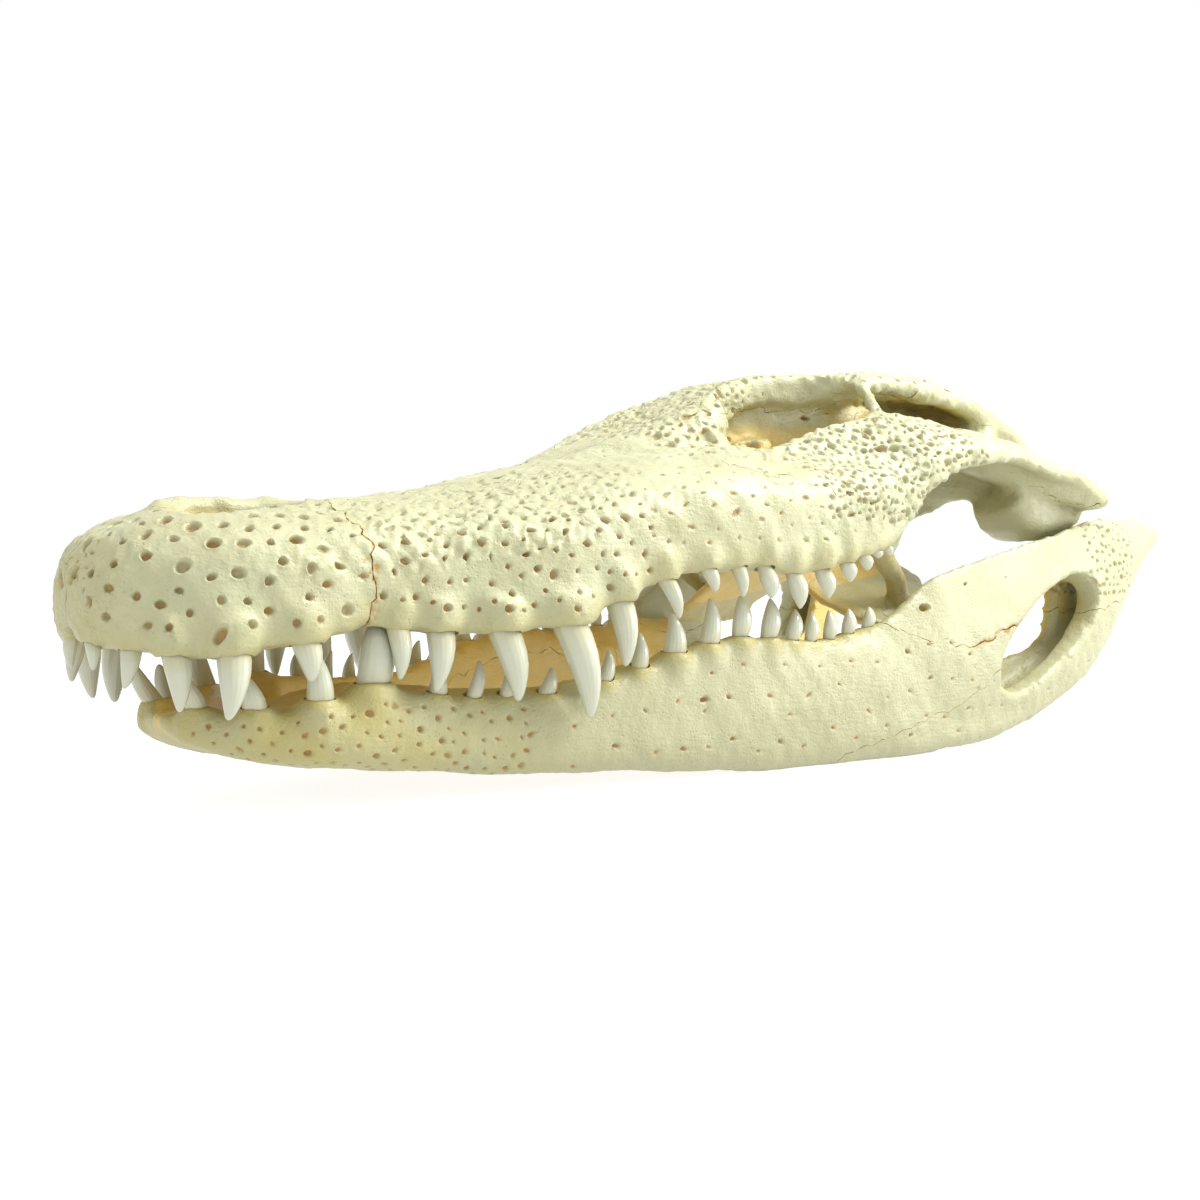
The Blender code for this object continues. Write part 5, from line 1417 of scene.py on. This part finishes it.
# %% Waves of the skin
SLOW_KINDS = ((6.5, 0.10), (3.4, 0.07), (1.9, 0.02))        # length and swing, in units
SLOW_SEED = 21
ROUGH_KINDS = ((1.5, 0.055), (0.9, 0.035), (0.55, 0.02))
ROUGH_SEED = 22
SKIN_COUNT = 6                # waves of each kind
SKIN_SCALE = 1 / 2.4          # so that they add up to about the swing
SLOW = field(SLOW_KINDS, SLOW_SEED, SKIN_COUNT, SKIN_SCALE)
ROUGH = field(ROUGH_KINDS, ROUGH_SEED, SKIN_COUNT, SKIN_SCALE)
HOLD_BACK = 2.5 * MM          # how far inside the box a skin starts to be held back
BOX_SPARE = 0.2 * MM          # how far inside the box it has to stay


def within_box(points):
    """Points eased back where the waves would carry them out of the CAD's box."""
    low, high = np.array(CAD_BOX)
    middle, room = (low + high) / 2, (high - low) / 2 - BOX_SPARE
    away = np.abs(points - middle) - (room - HOLD_BACK)
    eased = np.where(away > 0, HOLD_BACK * np.tanh(away / HOLD_BACK) - away, 0)
    eased[:, 2] *= points[:, 2] > middle[2]
    return points + eased * np.sign(points - middle)


def hump(s, middle, half):
    """1 round a middle, and nearly nothing beyond half a length from it."""
    return np.exp(-((s - middle) / half) ** 4)


def roughness_at(s, w, h):
    """How rough the skin is: most on snout, cheek, brow and skull table."""
    cheek = hump(s, 72, 11) * (w > 11) * (h > 21)
    brow = hump(s, 58, 8) * (h > 27)
    table = (s > 74) * (h > 35.5)
    snout_top = hump(s, 26, 16) * (h > out_of(FACE_TOP, s) - 6) * (w > 3)
    tip = np.clip(1 - (s + 1.3) / 5, 0, 1) * (h > 9)
    lever = 0.25 * np.clip((s - 98) / 6, 0, 1) * (h < 25)
    lower_jaw = 0.35 * (h < 12)
    return np.clip(0.25 + cheek + brow + table + snout_top + tip + lever + lower_jaw, 0, 1.2)


print(len(SLOW), "slow and", len(ROUGH), "fine waves")

# %% [markdown]
# The roof and floor of the mouth, the nostrils and the lower orbits are painted darker and ochre as
# shade, since little light reaches inside them. Two sutures stand a little open and are brown: the one
# behind the nostrils' bones, and the one that runs into the window of the lower jaw. Both are found from
# the place alone, as the sutures' waves are known everywhere.

# %% Inside the mouth


def inside_mouth(s, w, h, out, rise, upper):
    """How far inside the mouth, the nose or the orbits a place lies, from 0 to 1, where the bone is
    painted darker as shade.
    """
    if upper:
        # Between the rows of teeth, near the palate or, further back, under the orbits.
        deep = np.clip((out_of(TOOTH_LINE, s) - 0.9 - w) / 1.0, 0, 1)
        low = np.clip((out_of(PALATE, s) + 2.6 - h) / 1.2, 0, 1)
        back = np.clip((s - 60) / 4, 0, 1) * np.clip((25.5 - h) / 1.5, 0, 1) * (out < 0.6)
        roofed = deep * np.maximum(low * (rise < 0.5), back) * np.clip((92 - s) / 3, 0, 1)
        roofed *= 1 - 0.7 * np.clip((s - 70) / 4, 0, 1) * (w > 9)
        orbit = (s > 58) & (s < 79) & (h > 20) & (rise < 0.8) & ((w < 6.5) | (out < 0.3)) & (w < 15)
        nose = 0.5 * (nostril(s, w) < 0) * np.clip((22.2 - h) / 1.2, 0, 1)
        return np.maximum(np.maximum(roofed, nose), 0.9 * orbit * np.clip((33.6 - h) / 3, 0, 1))
    deep = np.clip((out_of(JAW_TOOTH_LINE, s) + 0.1 - w) / 0.8, 0, 1)
    return deep * np.clip(0.7 - out, 0, 1) * np.clip(1.2 + rise, 0, 1)


print("the palate is", round(along(PALATE, 30) - along(ALVEOLAR, 30), 1), "units over the gums")

# %% Open sutures
SNOUT_SUTURE = 16.5           # s of the suture behind the premaxilla
ANGULAR_SUTURE = ((80, 9.4), (84, 10.6), (94, 13.0))        # s and h of the one in the jaw
SUTURE_HALVES = (0.28, 0.22)  # half the breadths of the two, in units


def open_suture(places, out, upper):
    """How near a place lies to an open suture, from 0 to 1."""
    swing = waves(places)
    s, h = places[:, 0], places[:, 2]
    if upper:
        away = s - swing[:, 0] - SNOUT_SUTURE
        crumbs = np.clip(0.45 + 9 * swung(ROUGH, 2.2 * places)[:, 1], 0, 1)
        over_gum = (h > out_of(ALVEOLAR, s)) * (h < 21.5)
        return crumbs * np.exp(-(away / SUTURE_HALVES[0]) ** 2) * over_gum
    away = h - swing[:, 2] - np.interp(s, *zip(*ANGULAR_SUTURE))
    ends = np.clip((s - 79) / 2, 0, 1) * np.clip((93.5 - s) / 2, 0, 1)
    return np.exp(-(away / SUTURE_HALVES[1]) ** 2) * ends * (out > 0.2)


print("the snout's open suture is", round(SNOUT_SUTURE * UNIT / MM), "mm behind the tip")

# %% Honey stains and painted shade
RING_HONEY_AND_SHADE = {True: 0.5, False: 0.9}    # how dark the rims of the upper and lower sockets are painted, as stain and as shade


def honey_and_shade_at(s, w, h, upper):
    """How far a place is painted dark yellow-brown, from 0 to 1, as stain and as shade: the jaw's front,
    gums and sockets.
    """
    if upper:
        share = 0.45 * np.clip((out_of(ALVEOLAR, s) + 3.0 - h) / 3.0, 0, 1) * (s < 60)
        share = np.maximum(share, 0.5 * np.clip(1 - (s + 1.3) / 2.2, 0, 1))
    else:
        share = 0.85 * np.clip((36 - s) / 20, 0, 1)
    clouds = 0.75 + 4 * swung(ROUGH, 0.25 * np.stack((s, w, h), 1))[:, 0]
    share = share * np.clip(clouds, 0.3, 1)
    row, line, rim = row_of(upper)
    for tooth_s, _, breadth, _ in row:
        away = np.sqrt((s - tooth_s) ** 2 + (w - along(line, tooth_s)) ** 2
                       + (h - along(rim, tooth_s)) ** 2)
        ring = np.exp(-np.maximum(away - 0.55 * breadth, 0) ** 2 / 0.25)
        share = np.maximum(share, RING_HONEY_AND_SHADE[upper] * ring)
    return share


print("honey rings round", 2 * (len(UPPER_TEETH) + len(LOWER_TEETH)), "sockets")

# %% Press the pits in
PIT_REACH = 1.7               # how far a pit and its rim reach, in its radii
DRAG = 0.25                   # how far the punch drags its floor along, in depths


def pressed_in(points, own):
    """How far its own pits move each point of a bone, and how much they stain it."""
    skin = Skin(points)
    moved = np.zeros_like(points)
    stain = np.zeros(len(points))
    for pit in own:
        found = skin.near(pit.spot, max(PIT_REACH * pit.radius * pit.stretch, pit.tail))
        pressed, rim = shares(points[found], pit)
        press = pit.normal + DRAG * pit.run
        moved[found] += -pit.depth * pressed[:, None] * press + pit.depth * rim[:, None] * pit.normal
        stain[found] = np.maximum(stain[found], pit.stain * pressed)
    return moved, stain


# %% Carve every bone
UPPER_BONES = {name for name, *_ in SKULL_BONES}
NEARBY = 3 * MM               # pits this far outside a bone can still touch it
JAW_SLOW = 0.55               # how much of the slow waves the jaw takes
JAW_ROUGH = 0.4               # and of the fine ones
CRACK = 0.22 * MM             # how deep an open suture is sunk
CRACK_STAIN = 0.9
SEAM_STAIN = 0.16
SEAM_SHELTER = 0.25
# how much painted shade the inside of the mouth gets
MOUTH_SHADE = 0.95
REAR_LIGHT = 0.4              # how much less painted shade the open back of the skull gets
SHARP = math.radians(60)      # edges sharper than this stay sharp

for name, bone in bones.items():
    points = points_of(bone)
    low, high = points.min(0) - NEARBY, points.max(0) + NEARBY
    own = [pit for pit in pits if (pit.spot > low).all() and (pit.spot < high).all()]
    if FINE:
        refined_round(bone, own)
        points = points_of(bone)
    moved, stain = pressed_in(points, own)
    s, w, h = measured(points)
    places = np.stack((s, w, h), 1)
    mirrored = np.stack((s, np.abs(w), h), 1)
    normals = normals_of(bone)
    out = -normals[:, 1] * np.sign(w)
    upper = name.removesuffix("_L").removesuffix("_R") in UPPER_BONES
    rough = roughness_at(s, np.abs(w), h) * (1.0 if upper else JAW_ROUGH)
    push = swung(SLOW, places) * (1.0 if upper else JAW_SLOW) + swung(ROUGH, places) * rough[:, None]
    crack = open_suture(mirrored, out, upper)
    moved -= normals * (CRACK * crack)[:, None]
    points = within_box(points + push * (UNIT, -UNIT, UNIT)) + moved
    points[:, 2] = np.maximum(points[:, 2], 0)
    put_points(bone, points)
    seam = 1 - values_of(bone, "skin")
    stain = np.maximum(stain, np.maximum(seam * SEAM_STAIN, CRACK_STAIN * crack))
    put_value(bone, "stain", stain)
    # Painted shade and stain: the gums, the sockets' rims and the jaw's front are darkened.
    put_value(bone, "honey_and_shade", honey_and_shade_at(s, np.abs(w), h, upper))
    # Painted shade: the inside of the mouth, the nostrils and the orbits are darkened as if sheltered.
    mouth = MOUTH_SHADE * inside_mouth(s, np.abs(w), h, out, normals[:, 2], upper)
    # Painted shade and grime, from how much other bone hides the sky, less at the open back of the skull.
    shade_and_grime = values_of(bone, "shade_and_grime") * (1 - REAR_LIGHT * np.clip((s - 84) / 6, 0, 1) * upper)
    shade_and_grime = np.maximum(shade_and_grime, SEAM_SHELTER * seam)
    put_value(bone, "shade_and_grime", np.maximum(shade_and_grime, mouth))
    bone.data.shade_smooth()
    bone.data.set_sharp_from_angle(angle=SHARP)
print("triangles:", sum(len(face.vertices) - 2 for bone in bones.values()
                        for face in bone.data.polygons))

# %% [markdown]
# ## Bone and enamel
# Cleaned bone is a warm white that leans to yellow, with cloudy patches, faint long fibres and a fine
# stipple of pores. The bottoms of pits and the sutures are stained ochre. Every sheltered hollow is
# painted tan and ochre as shade and grime, the gums, the sockets and the jaw's front are painted a dark
# yellow-brown as stain and shade, and bone near the floor is painted darker as shade.
# Tooth enamel is whiter and glossy, a little darker at the root, with faint lengthwise ridges. A
# few small helpers wire the nodes, as each pattern is the same three or four nodes in a row.

# %% Helpers for nodes


def node(tree, kind, **settings):
    """A new node with these settings."""
    made = tree.nodes.new(kind)
    for key, value in settings.items():
        setattr(made, key, value)
    return made


def mixed(tree, share, low, high):
    """A colour between two colours or outputs, by a share."""
    mix = node(tree, "ShaderNodeMix", data_type="RGBA")
    for value, socket in ((low, 6), (high, 7)):
        if isinstance(value, tuple):
            mix.inputs[socket].default_value = (*value, 1)
        else:
            tree.links.new(value, mix.inputs[socket])
    tree.links.new(share, mix.inputs[0])
    return mix.outputs[2]


def ramped(tree, source, start, end, low=0.0, high=1.0):
    """A number stretched from a range to another, and held at its ends."""
    ranged = node(tree, "ShaderNodeMapRange")
    for socket, value in zip((1, 2, 3, 4), (start, end, low, high)):
        ranged.inputs[socket].default_value = value
    tree.links.new(source, ranged.inputs[0])
    return ranged.outputs[0]


def noise(tree, where, size, detail=2.0):
    """Cloudy noise whose patches are about this many metres across."""
    cloud = node(tree, "ShaderNodeTexNoise")
    cloud.inputs["Scale"].default_value = 1 / size
    cloud.inputs["Detail"].default_value = detail
    tree.links.new(where, cloud.inputs["Vector"])
    return cloud.outputs[0]


def calculated(tree, operation, first, second):
    """Two numbers or outputs combined."""
    math_node = node(tree, "ShaderNodeMath", operation=operation)
    for value, socket in ((first, 0), (second, 1)):
        if isinstance(value, (int, float)):
            math_node.inputs[socket].default_value = value
        else:
            tree.links.new(value, math_node.inputs[socket])
    return math_node.outputs[0]


# %% Bone material
PALE = (0.435, 0.438, 0.27)
CREAM = (0.395, 0.385, 0.22)            # cloudy patches and fibres
FOOT_SHADE = (0.36, 0.35, 0.20)               # bone near the floor, painted darker as shade
PORE = (0.33, 0.31, 0.19)
HONEY_AND_SHADE = (0.39, 0.34, 0.12)
TAN_SHADE = (0.60, 0.44, 0.125)               # sheltered hollows, painted as shade and grime
OCHRE = (0.34, 0.19, 0.045)             # bottoms of pits, and open sutures
CLOUD = 0.022                           # breadths of the patterns, in metres
FIBRE = 0.0011
FIBRE_SHRINK = 0.16                     # places are shrunk lengthwise, which draws fibres out
PORE_SPACING = 0.0012
PORE_PATCH = 0.007
TAN_SHADE_PATCH = 0.011
OCHRE_PATCH = 0.004
PORE_SHARE = 0.55
FOOT_SHADE_HEIGHTS = (0.060, 0.005)           # where the painted shade near the floor starts, and is full
BONE_ROUGHNESS = 0.42
BONE_SPECULAR = 0.4
RELIEF_GRAIN = 0.0009
BONE_RELIEF = (0.4, 0.0005)             # strength, and height in metres

bone_look = bpy.data.materials.new("bone")
bone_look.use_nodes = True
tree = bone_look.node_tree
shader = tree.nodes["Principled BSDF"]
where = node(tree, "ShaderNodeTexCoord").outputs["Object"]
stain_value = node(tree, "ShaderNodeAttribute", attribute_name="stain").outputs["Fac"]
shade_and_grime_value = node(tree, "ShaderNodeAttribute", attribute_name="shade_and_grime").outputs["Fac"]
fibre_map = node(tree, "ShaderNodeMapping")
fibre_map.inputs["Scale"].default_value = (FIBRE_SHRINK, 1, 1)
tree.links.new(where, fibre_map.inputs["Vector"])
clouds = noise(tree, where, CLOUD, 4)
colour = mixed(tree, ramped(tree, clouds, 0.35, 0.65), PALE, CREAM)
fibres = noise(tree, fibre_map.outputs[0], FIBRE, 2)
colour = mixed(tree, ramped(tree, fibres, 0.5, 0.75, 0, 0.5), colour, CREAM)
height = node(tree, "ShaderNodeSeparateXYZ")
tree.links.new(where, height.inputs[0])
# Painted shade: the bone gets darker towards the floor, where less light reaches it.
colour = mixed(tree, ramped(tree, height.outputs["Z"], *FOOT_SHADE_HEIGHTS, 0, 0.9), colour, FOOT_SHADE)
cells = node(tree, "ShaderNodeTexVoronoi")
cells.inputs["Scale"].default_value = 1 / PORE_SPACING
tree.links.new(where, cells.inputs["Vector"])
pores = calculated(tree, "MULTIPLY", ramped(tree, cells.outputs["Distance"], 0.14, 0.3, 1, 0),
                   ramped(tree, noise(tree, where, PORE_PATCH, 3), 0.48, 0.62))
colour = mixed(tree, calculated(tree, "MULTIPLY", pores, PORE_SHARE), colour, PORE)
# Painted shade and stain: a dark yellow-brown at the gums, the sockets' rims and the jaw's front, and in
# sheltered places.
honey_and_shade_value = node(tree, "ShaderNodeAttribute", attribute_name="honey_and_shade").outputs["Fac"]
honey_and_shade_share = calculated(tree, "MAXIMUM", honey_and_shade_value, ramped(tree, shade_and_grime_value, 0.02, 0.4, 0, 0.6))
colour = mixed(tree, honey_and_shade_share, colour, HONEY_AND_SHADE)
# Painted shade and grime: sheltered hollows turn tan.
tan_shade_share = calculated(tree, "MULTIPLY", ramped(tree, shade_and_grime_value, 0.2, 0.75),
                       ramped(tree, noise(tree, where, TAN_SHADE_PATCH, 3), 0.25, 0.6, 0.7, 1))
colour = mixed(tree, tan_shade_share, colour, TAN_SHADE)
deep = calculated(tree, "MULTIPLY", ramped(tree, stain_value, 0.1, 0.8),
                  ramped(tree, noise(tree, where, OCHRE_PATCH, 2), 0.3, 0.7, 0.75, 1))
colour = mixed(tree, deep, colour, OCHRE)
tree.links.new(colour, shader.inputs["Base Color"])
shader.inputs["Roughness"].default_value = BONE_ROUGHNESS
shader.inputs["Specular IOR Level"].default_value = BONE_SPECULAR
grain = noise(tree, where, RELIEF_GRAIN, 3)
relief = calculated(tree, "SUBTRACT", calculated(tree, "ADD", grain, fibres), pores)
bump = node(tree, "ShaderNodeBump")
bump.inputs["Strength"].default_value = BONE_RELIEF[0]
bump.inputs["Distance"].default_value = BONE_RELIEF[1]
tree.links.new(relief, bump.inputs["Height"])
tree.links.new(bump.outputs[0], shader.inputs["Normal"])
print("bone:", len(tree.nodes), "nodes")

# %% Enamel material
ENAMEL = (0.475, 0.485, 0.37)
GUM = (0.46, 0.435, 0.27)               # the root's end of a crown
ENAMEL_PATCH = 0.005                    # breadth of its clouds, in metres
ENAMEL_ROUGHNESS = 0.16
GLOSS = (0.3, 0.08)                     # weight and roughness of the clear coat
RIDGES = 17                             # round a crown
RIDGE_RELIEF = (0.12, 0.0002)           # strength, and height in metres

enamel = bpy.data.materials.new("enamel")
enamel.use_nodes = True
tree = enamel.node_tree
shader = tree.nodes["Principled BSDF"]
crown_value = node(tree, "ShaderNodeAttribute", attribute_name="crown").outputs["Fac"]
turn_value = node(tree, "ShaderNodeAttribute", attribute_name="turn").outputs["Fac"]
where = node(tree, "ShaderNodeTexCoord").outputs["Object"]
cloudy = calculated(tree, "ADD", crown_value, calculated(
    tree, "MULTIPLY", calculated(tree, "SUBTRACT", noise(tree, where, ENAMEL_PATCH, 3), 0.5), 0.5))
colour = mixed(tree, ramped(tree, cloudy, -0.05, 0.4), GUM, ENAMEL)
tree.links.new(colour, shader.inputs["Base Color"])
shader.inputs["Roughness"].default_value = ENAMEL_ROUGHNESS
shader.inputs["Coat Weight"].default_value = GLOSS[0]
shader.inputs["Coat Roughness"].default_value = GLOSS[1]
ridges = node(tree, "ShaderNodeMath", operation="SINE")
tree.links.new(calculated(tree, "MULTIPLY", turn_value, RIDGES), ridges.inputs[0])
bump = node(tree, "ShaderNodeBump")
bump.inputs["Strength"].default_value = RIDGE_RELIEF[0]
bump.inputs["Distance"].default_value = RIDGE_RELIEF[1]
tree.links.new(ridges.outputs[0], bump.inputs["Height"])
tree.links.new(bump.outputs[0], shader.inputs["Normal"])
print("enamel:", len(tree.nodes), "nodes")

# %% [markdown]
# ## Hand over
# Each bone stands for its CAD node. All ride on the one body, as nothing moves.

# %% Pieces
for name, bone in bones.items():
    bone.data.materials.clear()
    bone.data.materials.append(bone_look)
    bone.name = "bone_" + name
    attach(bone, "root")
    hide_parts(name)
for name, tooth in teeth.items():
    tooth.data.materials.clear()
    tooth.data.materials.append(enamel)
    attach(tooth, "root")
